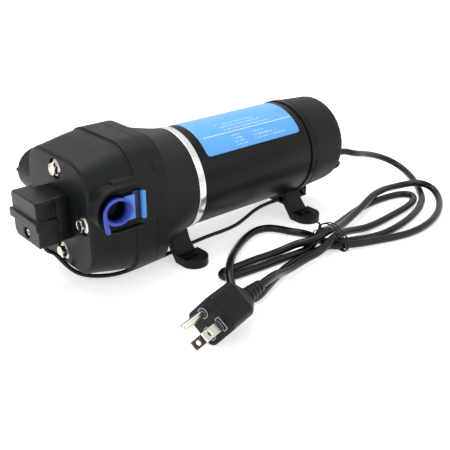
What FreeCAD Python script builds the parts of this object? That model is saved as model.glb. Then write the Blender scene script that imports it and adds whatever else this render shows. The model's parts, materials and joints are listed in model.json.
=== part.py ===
# Diaphragm pump: four-chamber head, mains motor with foot brackets, pressure switch, plug and cord.
# Units are millimetres. X runs from the head (-) to the motor's rear (+), Z is up, the floor is Z = 0.
import math
import os
import re

import FreeCAD
import Part
import Sketcher
from FreeCAD import Matrix, Placement, Rotation, Vector

os.makedirs("parts", exist_ok=True)
doc = FreeCAD.newDocument("pump")

# Driving dimensions
SIZES = [
    ("axis_height", 55.0, "height of the motor axis over the floor"),
    ("tube_radius", 38.0, "outside radius of the motor tube"),
    ("tube_wall", 2.4, "wall of the motor tube"),
    ("ring_proud", 0.9, "how far the metal ring and the end plate rims stand out over the tube"),
    ("ring_front", -56.4, "front face of the metal ring"),
    ("ring_width", 6.0, "width of the metal ring"),
    ("tube_end", 59.5, "rear end of the motor tube"),
    ("housing_depth", 41.0, "length of the lower housing"),
    ("head_depth", 49.0, "length of the pump head"),
    ("bolt_circle", 30.0, "radius of the four head bolts' circle"),
    ("chamber_circle", 20.0, "radius of the four chambers' circle"),
    ("port_rise", 11.0, "height of the port axis over the motor axis"),
    ("shaft_radius", 4.0, "radius of the motor shaft"),
    ("bearing_radius", 11.0, "outside radius of the ball bearings"),
    ("foot_x", 60.0, "foot screw holes from the middle along X"),
    ("foot_y", 35.0, "foot screw holes from the middle along Y"),
    ("foot_thick", 7.0, "thickness of a foot pad"),
    ("foot_hole", 2.5, "radius of a foot screw hole"),
    ("switch_y", 0.0, "axis of the pressure switch across"),
    ("switch_drop", 8.5, "depth of the switch's axis under the motor axis"),
    ("cord_radius", 3.0, "radius of the mains cord"),
]
# Sizes that follow from the driving ones
DERIVED = [
    ("ring_radius", "tube_radius + ring_proud", "outside radius of the metal ring and the end plate rims"),
    ("seam_x", "ring_front - housing_depth", "joint between pump head and lower housing"),
    ("face_x", "seam_x - head_depth", "front face of the pump head"),
    ("plate_front", "seam_x - 10", "front face of the valve plate"),
    ("plate_back", "seam_x - 2", "back face of the valve plate"),
    ("port_x", "seam_x - 33", "port axis along X"),
    ("port_z", "axis_height + port_rise", "port axis height"),
    ("cap_front", "tube_end + 4.9", "front edge of the rear cap"),
    ("switch_z", "axis_height - switch_drop", "axis height of the pressure switch"),
    ("tube_bore", "tube_radius - tube_wall", "inside radius of the motor tube"),
    ("core_radius", "tube_bore - 7.6", "outside radius of the armature core"),
    ("under_ring", "axis_height - ring_radius", "height of the ring's lowest point"),
]
sheet = doc.addObject("Spreadsheet::Sheet", "sizes")
for row, (alias, value, note) in enumerate(SIZES + DERIVED, 1):
    sheet.set("A%d" % row, alias)
    sheet.set("B%d" % row, "=" + value if isinstance(value, str) else str(value))
    sheet.set("C%d" % row, note)
    sheet.setAlias("B%d" % row, alias)
doc.recompute()
VALUES = {alias: round(float(sheet.get(alias)), 6) for alias, value, note in SIZES + DERIVED}

AXIS = VALUES["axis_height"]
FACE = VALUES["face_x"]
SEAM = VALUES["seam_x"]
PORT_X = VALUES["port_x"]
PORT_Z = VALUES["port_z"]
SWITCH_Z = VALUES["switch_z"]
TUBE_RADIUS = VALUES["tube_radius"]
BORE = VALUES["tube_bore"]
CORE = VALUES["core_radius"]
RING_RADIUS = VALUES["ring_radius"]
RING_FRONT = VALUES["ring_front"]
TUBE_END = VALUES["tube_end"]
CAP_FRONT = VALUES["cap_front"]
FOOT_X = VALUES["foot_x"]
FOOT_Y = VALUES["foot_y"]
TURN = {"x": Rotation(Vector(0, 1, 0), 90), "y": Rotation(Vector(1, 0, 0), -90), "z": Rotation()}
QUARTERS = (0, 90, 180, 270)
DIAGONALS = (45, 135, 225, 315)


# Helpers for bound primitives
def drive(item, prop, entry):
    """Set a property to a number, or bind it to a formula of the sheet's cells."""
    if isinstance(entry, str):
        item.setExpression(prop, re.sub(r"[a-z]+_[a-z]+", lambda match: "sizes." + match.group(0), entry))
    elif "." in prop:
        base = item.Placement.Base
        setattr(base, prop[-1], entry)
        item.Placement = Placement(base, item.Placement.Rotation)
    else:
        setattr(item, prop, entry)


def place(item, x, y, z, axis="z"):
    item.Placement = Placement(Vector(0, 0, 0), TURN[axis])
    for letter, entry in zip("xyz", (x, y, z)):
        drive(item, "Placement.Base." + letter, entry)
    return item


def cylinder(name, axis, x, y, z, radius, height):
    item = place(doc.addObject("Part::Cylinder", name), x, y, z, axis)
    drive(item, "Radius", radius)
    drive(item, "Height", height)
    return item


def cone(name, axis, x, y, z, radius1, radius2, height):
    item = place(doc.addObject("Part::Cone", name), x, y, z, axis)
    drive(item, "Radius1", radius1)
    drive(item, "Radius2", radius2)
    drive(item, "Height", height)
    return item


def ball(name, x, y, z, radius):
    item = place(doc.addObject("Part::Sphere", name), x, y, z)
    drive(item, "Radius", radius)
    return item


def box(name, x, y, z, length, width, height):
    item = place(doc.addObject("Part::Box", name), x, y, z)
    drive(item, "Length", length)
    drive(item, "Width", width)
    drive(item, "Height", height)
    return item


def fixed(name, shape, placement=None):
    item = doc.addObject("Part::Feature", name)
    item.Shape = shape
    if placement is not None:
        item.Placement = placement
    return item


def fuse(name, items):
    item = doc.addObject("Part::MultiFuse", name)
    item.Shapes = list(items)
    return item


def cut(name, base, tools):
    tools = list(tools)
    tool = tools[0] if len(tools) == 1 else fuse(name + "_tools", tools)
    item = doc.addObject("Part::Cut", name)
    item.Base = base
    item.Tool = tool
    return item


def ring(name, x, outer, inner, length, y=0.0, z="axis_height"):
    """A washer shape about an axis along X."""
    blank = cylinder(name + "_blank", "x", x, y, z, outer, length)
    hole = cylinder(name + "_hole", "x", x, y, z, inner, length)
    return cut(name, blank, [hole])


def round_places(angles, radius):
    """Y and Z of points on a circle round the motor axis."""
    return [(radius * math.cos(math.radians(a)), AXIS + radius * math.sin(math.radians(a))) for a in angles]


def turned(name, profile, y=0.0, z="axis_height", start=0.0):
    """A PartDesign body turned about X from a list of (station, radius) points."""
    body = doc.addObject("PartDesign::Body", name)
    plane = [f for f in body.Origin.OriginFeatures if f.Role == "XY_Plane"][0]
    sketch = body.newObject("Sketcher::SketchObject", name + "_profile")
    sketch.AttachmentSupport = [(plane, "")]
    sketch.MapMode = "FlatFace"
    count = len(profile)
    for i in range(count):
        (x1, r1), (x2, r2) = profile[i], profile[(i + 1) % count]
        sketch.addGeometry(Part.LineSegment(Vector(x1, r1, 0), Vector(x2, r2, 0)), False)
    for i in range(count):
        sketch.addConstraint(Sketcher.Constraint("Coincident", i, 2, (i + 1) % count, 1))
    for i, (x1, r1) in enumerate(profile):
        sketch.addConstraint(Sketcher.Constraint("DistanceX", -1, 1, i, 1, x1))
        if r1 == 0:
            sketch.addConstraint(Sketcher.Constraint("PointOnObject", i, 1, -1))
        else:
            sketch.addConstraint(Sketcher.Constraint("DistanceY", -1, 1, i, 1, r1))
    turn = body.newObject("PartDesign::Revolution", name + "_turn")
    turn.Profile = sketch
    turn.ReferenceAxis = (sketch, ["H_Axis"])
    turn.Angle = 360
    body.Tip = turn
    for letter, entry in zip("xyz", (start, y, z)):
        drive(body, "Placement.Base." + letter, entry)
    return body


def padded(name, outline, start, length):
    """A PartDesign body: a closed (Y, Z) outline padded along X."""
    body = doc.addObject("PartDesign::Body", name)
    plane = [f for f in body.Origin.OriginFeatures if f.Role == "YZ_Plane"][0]
    sketch = body.newObject("Sketcher::SketchObject", name + "_outline")
    sketch.AttachmentSupport = [(plane, "")]
    sketch.MapMode = "FlatFace"
    count = len(outline)
    for i in range(count):
        (a1, b1), (a2, b2) = outline[i], outline[(i + 1) % count]
        sketch.addGeometry(Part.LineSegment(Vector(a1, b1, 0), Vector(a2, b2, 0)), False)
    for i in range(count):
        sketch.addConstraint(Sketcher.Constraint("Coincident", i, 2, (i + 1) % count, 1))
    for i, (a1, b1) in enumerate(outline):
        sketch.addConstraint(Sketcher.Constraint("DistanceX", -1, 1, i, 1, a1))
        sketch.addConstraint(Sketcher.Constraint("DistanceY", -1, 1, i, 1, b1))
    pad = body.newObject("PartDesign::Pad", name + "_pad")
    pad.Profile = sketch
    drive(pad, "Length", length)
    body.Tip = pad
    drive(body, "Placement.Base.x", start)
    return body


def rounded_section(x, half, top, bottom, top_radius, bottom_radius):
    """A wire across X: a square outline round the motor axis with rounded corners."""
    upper, lower, rt, rb = AXIS + top, AXIS + bottom, top_radius, bottom_radius
    k = math.sqrt(0.5)
    corners = [
        ((half - rt, upper - rt), rt, 1, 1, (half - rt, upper), (half, upper - rt)),
        ((half - rb, lower + rb), rb, 1, -1, (half, lower + rb), (half - rb, lower)),
        ((-half + rb, lower + rb), rb, -1, -1, (-half + rb, lower), (-half, lower + rb)),
        ((-half + rt, upper - rt), rt, -1, 1, (-half, upper - rt), (-half + rt, upper)),
    ]
    edges = []
    for i, (centre, radius, sy, sz, first, last) in enumerate(corners):
        middle = (centre[0] + sy * radius * k, centre[1] + sz * radius * k)
        points = [Vector(x, *p) for p in (first, middle, last)]
        edges.append(Part.Arc(*points).toShape())
        following = corners[(i + 1) % 4][4]
        edges.append(Part.LineSegment(Vector(x, *last), Vector(x, *following)).toShape())
    return Part.Wire(edges)


def loft(*sections):
    return Part.makeLoft([rounded_section(*s) for s in sections], True, False)


def tube_path(points):
    """Straight runs joined by tangent arcs: radius = 0.45 x the shorter run / tan(half the turn)."""
    edges = []
    radii = []
    here = points[0]
    for before, at, after in zip(points, points[1:], points[2:]):
        back, on = before - at, after - at
        short = min(back.Length, on.Length)
        back.normalize()
        on.normalize()
        half = (math.pi - back.getAngle(on)) / 2
        radius = 0.45 * short / math.tan(half)
        radii.append(radius)
        entry, leave = at + back * (0.45 * short), at + on * (0.45 * short)
        inward = back + on
        inward.normalize()
        middle = at + inward * (radius / math.cos(half) - radius)
        edges.append(Part.LineSegment(here, entry).toShape())
        edges.append(Part.Arc(entry, middle, leave).toShape())
        here = leave
    edges.append(Part.LineSegment(here, points[-1]).toShape())
    return Part.Wire(edges), radii


def tube(name, points, radius):
    """A round tube along a path, with its volume compared with section times length."""
    points = [Vector(*p) for p in points]
    path, radii = tube_path(points)
    along = points[1] - points[0]
    circle = Part.Wire([Part.makeCircle(radius, points[0], along)])
    shape = path.makePipeShell([circle], True, False)
    expected = math.pi * radius * radius * path.Length
    smallest = sorted(radii)[:4]
    print("%s: length %.1f, volume %.1f against %.1f, smallest radii %s"
          % (name, path.Length, shape.Volume, expected, ["%.1f" % r for r in smallest]))
    return shape, path, radii


def helix(name, x, y, z, mean, wire, pitch, length):
    """A coil spring about an axis along X that starts at x."""
    curve = Part.makeHelix(pitch, length, mean)
    start = Vector(mean, 0, 0)
    circle = Part.Wire([Part.makeCircle(wire, start, Vector(0, 1, pitch / (2 * math.pi * mean)))])
    coil = Part.Wire(curve.Edges).makePipeShell([circle], True, True)
    return fixed(name, coil, Placement(Vector(x, y, z), TURN["x"]))


nodes = []


def node(name, item):
    item.Label = name
    nodes.append(item)
    return item


# Pump head: flange band, domed body, two port bosses, ducts and chambers
SEAM_SECTION = (43.5, 47, -46, 26, 22)
BAND = SEAM - 16.0
dome = loft((BAND, 42.3, 45.6, -44.5, 25, 22), (SEAM - 30.6, 41.4, 43.8, -42.3, 24, 21.5),
            (FACE + 6.4, 40.2, 41.0, -39.8, 21.5, 21), (FACE, 39.5, 39.8, -38.5, 20, 20))
front_edges = [e for e in dome.Edges if abs(e.BoundBox.XMin - FACE) < 0.01 and e.BoundBox.XLength < 0.01]
dome = fixed("dome", dome.makeFillet(2.5, front_edges))
band = fixed("band", loft((BAND, *SEAM_SECTION), (SEAM, *SEAM_SECTION)))
ROOT_Y, ROOT_R, POCKET_R, POCKET_DEEP, BORE_DEEP = 34.0, 15.9, 14.3, 3.9, 14.0
RUN_LONG = 19.8
BARREL_R = 8.6
# Each port boss with its side's sign, its reach across and its rim radius
BOSSES = (("near", -1, 48.5, 15.5), ("far", 1, 58.0, 16.2))


def outwards(sign, first, last):
    """The lower Y of a piece from first to last on one side, and its length."""
    return (first if sign > 0 else -last), last - first


head_solids = [dome, band]
head_tools = []
for side, sign, reach, rim in BOSSES:
    low, long = outwards(sign, ROOT_Y, reach)
    head_solids.append(cone("boss_" + side, "y", "port_x", low, "port_z", *(ROOT_R, rim)[::sign], long))
    flank = [(ROOT_Y, ROOT_R), (reach, rim), (reach, -rim), (ROOT_Y, -ROOT_R)]
    run_outline = [(sign * y, PORT_Z + rise) for y, rise in flank]
    head_solids.append(padded("boss_run_" + side, run_outline, "port_x", RUN_LONG))
    ledge = [(38, 18), (43, 18), (44.6, 15.7), (44.6, -13.6), (43, -15.5), (38, -15.5)]
    ledge_outline = [(sign * y, PORT_Z + rise) for y, rise in ledge]
    head_solids.append(padded("boss_ledge_" + side, ledge_outline, "port_x", "seam_x - port_x"))
    low, long = outwards(sign, reach - POCKET_DEEP, reach + 1)
    head_tools.append(cylinder("pocket_" + side, "y", "port_x", low, "port_z", POCKET_R, long))
    head_tools.append(box("pocket_run_" + side, "port_x", low, PORT_Z - POCKET_R,
                          RUN_LONG + 1, long, 2 * POCKET_R))
    low, long = outwards(sign, reach - BORE_DEEP, reach)
    head_tools.append(cylinder("bore_" + side, "y", "port_x", low, "port_z", BARREL_R + 1.0, long))
head_tools += [
    cylinder("outlet_duct", "y", "port_x", -35, "port_z", 6.0, 27),
    cylinder("outlet_chamber", "x", "plate_front - 30.6", 0, "axis_height", 13.0, 31.1),
    cylinder("inlet_duct", "y", "port_x", 16, "port_z", 6.0, 28.5),
    cylinder("inlet_link", "x", "port_x", 21, "port_z", 4.5, 13.0),
    ring("inlet_ring", "plate_front - 11.1", 25.0, 16.5, 11.6),
    cylinder("plate_seat", "x", "plate_front", 0, "axis_height", 36.2, "seam_x - plate_front + 1"),
    ring("seal_groove", "plate_front - 1.2", 35.4, 33.2, 1.3),
    cylinder("switch_tap", "x", "face_x - 1", "switch_y", "switch_z + 3", 1.5, 12),
]
SWITCH_SCREWS = ((-13, SWITCH_Z - 2.5), (13, SWITCH_Z + 21.5))
BOLTS = round_places(QUARTERS, VALUES["bolt_circle"])
CHAMBERS = round_places(DIAGONALS, VALUES["chamber_circle"])
BOLT_DEEP = 2.2
for i, (y, z) in enumerate(BOLTS):
    head_tools.append(cylinder("head_bolt_hole%d" % i, "x", "face_x - 1", y, z, 2.2, 60))
    head_tools.append(cylinder("head_bolt_seat%d" % i, "x", "face_x - 1", y, z, 7.0, BOLT_DEEP + 1))
for i, (y, z) in enumerate(SWITCH_SCREWS):
    head_tools.append(cylinder("switch_screw_hole%d" % i, "x", "face_x - 1", y, z, 1.3, 7))
node("pump_head", cut("pump_head", fuse("head_solid", head_solids), head_tools))

# Four flanged hexagon bolts
bolt_pieces = []
for i, (y, z) in enumerate(BOLTS):
    hexagon = doc.addObject("Part::Prism", "bolt_hex%d" % i)
    hexagon.Polygon = 6
    hexagon.Circumradius = 8.0 / math.sqrt(3)
    hexagon.Height = 3.8
    place(hexagon, "face_x - 2.6", y, z, "x")
    bolt_pieces += [
        hexagon,
        cylinder("bolt_flange%d" % i, "x", "face_x + 1", y, z, 6.4, BOLT_DEEP - 1),
        cone("bolt_skirt%d" % i, "x", FACE, y, z, 4.9, 6.0, 1.0),
        cylinder("bolt_shank%d" % i, "x", "face_x + 2", y, z, 2.0, "head_depth + housing_depth + 3"),
    ]
node("head_bolts", fuse("head_bolts", bolt_pieces))

# Valve plate, valves, seal and diaphragm
PLATE_T = VALUES["plate_back"] - VALUES["plate_front"]
plate_tools = []
inlet_pieces = []
inlet_holes = []
pad_tools, pad_pieces, piston_pieces, screw_pieces = [], [], [], []
for i, (y, z) in enumerate(CHAMBERS):
    angle = math.radians(DIAGONALS[i])
    vy, vz = 20.8 * math.cos(angle), AXIS + 20.8 * math.sin(angle)
    oy, oz = 11.0 * math.cos(angle), AXIS + 11.0 * math.sin(angle)
    plate_tools += [
        cylinder("chamber%d" % i, "x", "plate_back - 4", y, z, 10.6, 5),
        cylinder("valve_stem_hole%d" % i, "x", "plate_front - 1", vy, vz, 1.2, 6),
        cylinder("outlet_hole%d" % i, "x", "plate_front - 1", oy, oz, 1.4, 6),
    ]
    for k in range(4):
        turn = angle + math.radians(45 + 90 * k)
        plate_tools.append(cylinder("inlet_hole%d_%d" % (i, k), "x", "plate_front - 1",
                                    vy + 2.8 * math.cos(turn), vz + 2.8 * math.sin(turn), 1.0, 6))
    inlet_pieces += [
        cylinder("inlet_disc%d" % i, "x", "plate_back - 4", vy, vz, 4.6, 0.8),
        cylinder("inlet_stem%d" % i, "x", "plate_front - 1", vy, vz, 1.2, 5.2),
        cylinder("inlet_knob%d" % i, "x", "plate_front - 1.6", vy, vz, 1.6, 1.6),
    ]
    pad_tools.append(cylinder("pad_opening%d" % i, "x", "plate_back - 0.5", y, z, 9.4, 3.5))
    pad_pieces.append(cut("pad%d" % i, cylinder("pad_disc%d" % i, "x", "plate_back", y, z, 8.4, 2.0),
                          [cylinder("pad_hole%d" % i, "x", "plate_back - 1", y, z, 1.5, 4)]))
    piston_pieces.append(cut("piston%d" % i, cylinder("piston_disc%d" % i, "x", "seam_x", y, z, 7.6, 4.0),
                             [cylinder("piston_hole%d" % i, "x", "seam_x - 1", y, z, 1.5, 6)]))
    screw_pieces += [
        cylinder("piston_screw_head%d" % i, "x", "plate_back - 1.4", y, z, 3.0, 1.4),
        cylinder("piston_screw_shank%d" % i, "x", "plate_back", y, z, 1.5, 10.5),
    ]
for i, (y, z) in enumerate(BOLTS):
    plate_tools.append(cylinder("plate_bolt_hole%d" % i, "x", "plate_front - 1", y, z, 2.2, 10))
    pad_tools.append(cylinder("sheet_bolt_hole%d" % i, "x", "plate_back - 1", y, z, 2.2, 5))
plate_tools.append(cylinder("outlet_stem_hole", "x", "plate_front - 1", 0, "axis_height", 1.5, 10))
plate_blank = cylinder("plate_blank", "x", "plate_front", 0, "axis_height", 36.0, PLATE_T)
node("valve_plate", cut("valve_plate", plate_blank, plate_tools))
node("inlet_valves", fuse("inlet_valves", inlet_pieces))
node("outlet_valve", fuse("outlet_valve", [
    cylinder("outlet_disc", "x", "plate_front - 1", 0, "axis_height", 12.6, 1.0),
    cylinder("outlet_stem", "x", "plate_front", 0, "axis_height", 1.5, 8),
]))
node("head_seal", ring("head_seal", "plate_front - 1.2", 35.4, 33.2, 1.2))
sheet_blank = cylinder("diaphragm_blank", "x", "plate_back", 0, "axis_height", 36.0, 2.0)
node("diaphragm", cut("diaphragm", sheet_blank, pad_tools))
node("diaphragm_pads", fuse("diaphragm_pads", pad_pieces))
node("pistons", fuse("pistons", piston_pieces))
node("piston_screws", fuse("piston_screws", screw_pieces))

# Wobble plate on its bearing, and the cam on the motor shaft
WOBBLE_X = SEAM + 17.4
BEARING_WIDE, BEARING_BORE = 7.0, "shaft_radius + 0.05"
CUP_X = WOBBLE_X - BEARING_WIDE / 2
SHAFT_FRONT = WOBBLE_X + 10.0
arms = [cylinder("arm_hub", "x", "seam_x + 4", 0, "axis_height", 15.0, 4.5)]
for i, (y, z) in enumerate(CHAMBERS):
    arms.append(cylinder("arm%d" % i, "x", "seam_x + 4", y, z, 7.6, 4.5))
CUP_LONG = BEARING_WIDE + 5.5
arms += [
    cylinder("bearing_cup", "x", CUP_X - 5.5, 0, "axis_height", "bearing_radius + 2.5", CUP_LONG),
    cylinder("tilt_stubs", "y", WOBBLE_X, "-bearing_radius - 6", "axis_height", 2.5,
             "2 * bearing_radius + 12"),
]
arm_tools = [cylinder("cup_bore", "x", CUP_X, 0, "axis_height", "bearing_radius", BEARING_WIDE + 1),
             cylinder("cup_relief", "x", CUP_X - 3, 0, "axis_height", 7.5, 4)]
for i, (y, z) in enumerate(CHAMBERS):
    arm_tools.append(cylinder("arm_screw_hole%d" % i, "x", "seam_x + 3.4", y, z, 1.5, 6))
node("wobble_plate", cut("wobble_plate", fuse("wobble_solid", arms), arm_tools))
node("wobble_bearing", ring("wobble_bearing", CUP_X, "bearing_radius", BEARING_BORE, BEARING_WIDE))
cam_solid = fuse("cam_solid", [
    cylinder("cam_pin", "x", WOBBLE_X - 4.5, 0, "axis_height", "shaft_radius - 0.4", 11),
    ball("cam_crown", WOBBLE_X, 0, "axis_height", "shaft_radius"),
    cylinder("cam_disc", "x", WOBBLE_X + 6.0, 0, "axis_height", 9.0, 10),
    cylinder("cam_weight", "x", WOBBLE_X + 8.0, 0, "axis_height - 5", 9.0, 6),
])
node("eccentric_cam", cut("eccentric_cam", cam_solid,
                          [cylinder("cam_bore", "x", SHAFT_FRONT, 0, "axis_height", "shaft_radius", 8)]))

# Lower housing with four bolt columns
SKIRT_R = RING_RADIUS - 0.6
FLANGE_END = SEAM + 9.2
SKIRT = ((FLANGE_END, 42.2, 44.2, -43.6, 30, 27), (SEAM + 25.4, 40.0, 40.6, -40.2, 34, 32),
         (RING_FRONT, SKIRT_R, SKIRT_R, -SKIRT_R, SKIRT_R - 0.3, SKIRT_R - 0.3))
skirt = loft(*SKIRT)
flange = loft((SEAM, *SEAM_SECTION), (FLANGE_END, *SEAM_SECTION))
housing_solid = fuse("housing_solid", [fixed("skirt", skirt), fixed("flange", flange)])
columns = []
for i, (y, z) in enumerate(BOLTS):
    columns.append(cylinder("column%d" % i, "x", "seam_x - 1", y, z, 5.0, "housing_depth + 3"))
hollow_blank = cylinder("hollow_blank", "x", "seam_x - 1", 0, "axis_height",
                        "ring_radius - 4.4", "housing_depth + 2")
hollow = cut("housing_hollow", hollow_blank, columns)
housing_tools = [hollow]
for i, (y, z) in enumerate(BOLTS):
    housing_tools.append(cylinder("column_hole%d" % i, "x", "seam_x - 1", y, z, 2.2, "housing_depth + 2"))
FRONT_SCREW_X, REAR_SCREW_X = RING_FRONT - 7.6, TUBE_END - 4.5
housing_tools.append(cylinder("housing_screw_hole", "z", FRONT_SCREW_X, 0, "under_ring - 3.1", 1.5, 10))
node("lower_housing", cut("lower_housing", housing_solid, housing_tools))

# Places of the two through bolts, between the magnets and just inside the tube
THROUGH_RING = BORE - 4.36
THROUGH = round_places((194.84, 14.84), THROUGH_RING)

# Motor front plate, whose edge is the bright metal ring, and its bearing
front_solid = fuse("front_solid", [
    cylinder("front_disc", "x", "ring_front", 0, "axis_height", "ring_radius", "ring_width"),
    cylinder("front_spigot", "x", "ring_front + ring_width", 0, "axis_height", "tube_bore - 0.1", 3.0),
])
front_tools = [cylinder("front_pocket", "x", "ring_front + 2", 0, "axis_height", "bearing_radius", 8),
               cylinder("front_bore", "x", "ring_front - 1", 0, "axis_height", 7.0, 5)]
for i, (y, z) in enumerate(BOLTS):
    front_tools.append(cylinder("front_thread%d" % i, "x", "ring_front - 1", y, z, 2.05, 7))
for i, (y, z) in enumerate(THROUGH):
    front_tools.append(cylinder("front_through_hole%d" % i, "x", "ring_front + 3", y, z, 1.8, 8))
node("metal_ring", cut("metal_ring", front_solid, front_tools))
node("front_bearing", ring("front_bearing", "ring_front + 2", "bearing_radius", BEARING_BORE, BEARING_WIDE))

# Motor tube, magnets and rotor
tube_length = "tube_end - ring_front - ring_width"
node("motor_tube", cut("motor_tube", ring("tube_shell", "ring_front + ring_width", "tube_radius",
                                          "tube_radius - tube_wall", tube_length),
                       [cylinder("tube_screw_hole", "z", REAR_SCREW_X, 0,
                                 "axis_height - tube_radius - 2", 1.5, 6)]))
magnets = []
for i, middle in enumerate((0, 180)):
    arc = ring("magnet%d" % i, -38, "tube_bore - 0.2", "core_radius + 0.8", 76)
    wedge = doc.addObject("Part::Cylinder", "magnet_wedge%d" % i)
    wedge.Radius = BORE + 4.4
    wedge.Height = 80
    wedge.Angle = 110
    wedge.Placement = Placement(Vector(-40, 0, AXIS), Rotation(Vector(0, 1, 0), 90)
                                * Rotation(Vector(0, 0, 1), middle - 55))
    piece = doc.addObject("Part::Common", "magnet_arc%d" % i)
    piece.Base = arc
    piece.Tool = wedge
    magnets.append(piece)
node("magnets", fuse("magnets", magnets))
SLOTS = [k * 30.0 for k in range(12)]
core_tools = [cylinder("core_bore", "x", -31, 0, "axis_height", "shaft_radius", 64)]
slot_bars = []
for k, (y, z) in enumerate(round_places(SLOTS, CORE - 6.8)):
    core_tools.append(cylinder("slot%d" % k, "x", -31, y, z, 3.8, 64))
    slot_bars.append(cylinder("slot_coil%d" % k, "x", -31, y, z, 3.6, 64))
for k, (y, z) in enumerate(round_places(SLOTS, CORE - 1.4)):
    core_tools.append(cylinder("slot_mouth%d" % k, "x", -31, y, z, 1.7, 64))
core_blank = cylinder("core_blank", "x", -30, 0, "axis_height", "core_radius", 62)
node("armature_core", cut("armature_core", core_blank, core_tools))
coil_ends = []
for k, x in enumerate((-38.0, 32.2)):
    coil_ends.append(turned("coil_end%d" % k, [(0, 12), (0, CORE - 8), (1.5, CORE - 4.5), (6.3, CORE - 4.5),
                                               (7.8, CORE - 8), (7.8, 12)], start=x))
node("armature_windings", fuse("armature_windings", coil_ends + slot_bars))
comm_tools = [cylinder("commutator_bore", "x", 43, 0, "axis_height", "shaft_radius", 16)]
for k, angle in enumerate(SLOTS):
    gap = doc.addObject("Part::Box", "commutator_gap%d" % k)
    gap.Length, gap.Width, gap.Height = 11, 0.5, 2
    turn = Rotation(Vector(1, 0, 0), angle)
    gap.Placement = Placement(Vector(45, 0, AXIS) + turn.multVec(Vector(0, -0.25, 9.6)), turn)
    comm_tools.append(gap)
commutator_blank = turned("commutator_blank", [(44, 0), (44, 12.4), (45, 12.4), (45, 11), (56, 11), (56, 0)])
node("commutator", cut("commutator", commutator_blank, comm_tools))
SHAFT_R, SHAFT_REAR = VALUES["shaft_radius"], TUBE_END + 6.4
node("motor_shaft", turned("motor_shaft", [
    (SHAFT_FRONT, 0), (SHAFT_FRONT, SHAFT_R - 0.5), (SHAFT_FRONT + 0.5, SHAFT_R),
    (SHAFT_REAR - 0.5, SHAFT_R), (SHAFT_REAR, SHAFT_R - 0.5), (SHAFT_REAR, 0)]))

# Brushes on the commutator
HOLDER_END = BORE - 1.6
SPRING_LOW, SPRING_LONG = BORE - 12.2, 7.6
BRUSH_LOW, BRUSH_END = 10.0, SPRING_LOW - 0.4
brush_blocks = []
for i, sign in enumerate((1, -1)):
    z0 = AXIS + BRUSH_LOW if sign > 0 else AXIS - BRUSH_END
    brush_blocks.append(box("brush_block%d" % i, 47, -3, z0, 6, 6, BRUSH_END - BRUSH_LOW))
node("brushes", cut("brushes", fuse("brush_pair", brush_blocks),
                    [cylinder("brush_seat", "x", 40, 0, "axis_height", 11.06, 20)]))
holder_parts = [ring("holder_ring", 44, "tube_bore - 0.2", "tube_bore - 7.6", 3)]
holder_tools = [cylinder("holder_rod_way%d" % i, "x", 40, y, z, 2.1, 10) for i, (y, z) in enumerate(THROUGH)]
for i, sign in enumerate((1, -1)):
    z1 = AXIS + 14.0 if sign > 0 else AXIS - HOLDER_END
    holder_parts.append(box("holder_box%d" % i, 45.5, -4.5, z1, 9, 9, HOLDER_END - 14.0))
    z2 = AXIS + 10.0 if sign > 0 else AXIS - HOLDER_END + 2.0
    holder_tools.append(box("holder_slot%d" % i, 47, -3, z2, 6, 6, HOLDER_END - 12.0))
node("brush_holder", cut("brush_holder", fuse("holder_solid", holder_parts), holder_tools))
spring_shapes = []
for sign in (1, -1):
    base = Vector(50, 0, AXIS + sign * SPRING_LOW)
    curve = Part.makeHelix(1.8, SPRING_LONG, 2.0)
    circle = Part.Wire([Part.makeCircle(0.3, Vector(2.0, 0, 0), Vector(0, 1, 0.14))])
    coil = Part.Wire(curve.Edges).makePipeShell([circle], True, True)
    turn = Rotation() if sign > 0 else Rotation(Vector(1, 0, 0), 180)
    coil.Placement = Placement(base, turn)
    spring_shapes.append(coil)
node("brush_springs", fixed("brush_springs", Part.makeCompound(spring_shapes)))

# Rear plate, bearing, through bolts, rectifier and leads
rear_solid = fuse("rear_solid", [
    cylinder("rear_disc", "x", "tube_end", 0, "axis_height", "ring_radius", "cap_front - tube_end"),
    cylinder("rear_spigot", "x", "tube_end - 3", 0, "axis_height", "tube_bore - 0.1", 3.0),
    cylinder("rear_hub", "x", "cap_front", 0, "axis_height", "bearing_radius + 3", 3.6),
    ring("rear_lip", "cap_front", "ring_radius - 2.9", "ring_radius - 4.5", 4.0),
])
LEADS = ((-5, AXIS + 20), (5, AXIS + 20))
rear_tools = [cylinder("rear_pocket", "x", "tube_end - 3.5", 0, "axis_height", "bearing_radius", 9.4),
              cylinder("rear_bore", "x", "tube_end + 0.5", 0, "axis_height", "shaft_radius + 1.5", 6.5)]
for i, (y, z) in enumerate(THROUGH):
    rear_tools.append(cylinder("rear_through_hole%d" % i, "x", "tube_end - 9.5", y, z, 2.1, 20))
for i, (y, z) in enumerate(LEADS):
    rear_tools.append(cylinder("lead_hole%d" % i, "x", "tube_end - 9.5", y, z, 1.6, 20))
node("rear_plate", cut("rear_plate", rear_solid, rear_tools))
node("rear_bearing", ring("rear_bearing", "tube_end - 1.1", "bearing_radius", BEARING_BORE, BEARING_WIDE))
through = []
for i, (y, z) in enumerate(THROUGH):
    through.append(cylinder("through_rod%d" % i, "x", "ring_front + 5.4", y, z, 1.75,
                            "tube_end - ring_front + 0.1"))
    through.append(cylinder("through_head%d" % i, "x", "cap_front", y, z, 2.9, 2.6))
node("through_bolts", fuse("through_bolts", through))
rectifier_ways = []
lead_pieces = []
for i, (y, z) in enumerate(LEADS):
    rectifier_ways.append(cylinder("rectifier_wire%d" % i, "x", "cap_front - 4.4", y, z, 1.25, 8))
    lead_pieces.append(cylinder("lead%d" % i, "x", "tube_end - 4.7", y, z, 1.2, 13.0))
rectifier_block = box("rectifier_block", "cap_front", -8, "axis_height + 15.5", 6, 16, 16)
node("rectifier", cut("rectifier", rectifier_block, rectifier_ways))
node("motor_leads", fuse("motor_leads", lead_pieces))

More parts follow.
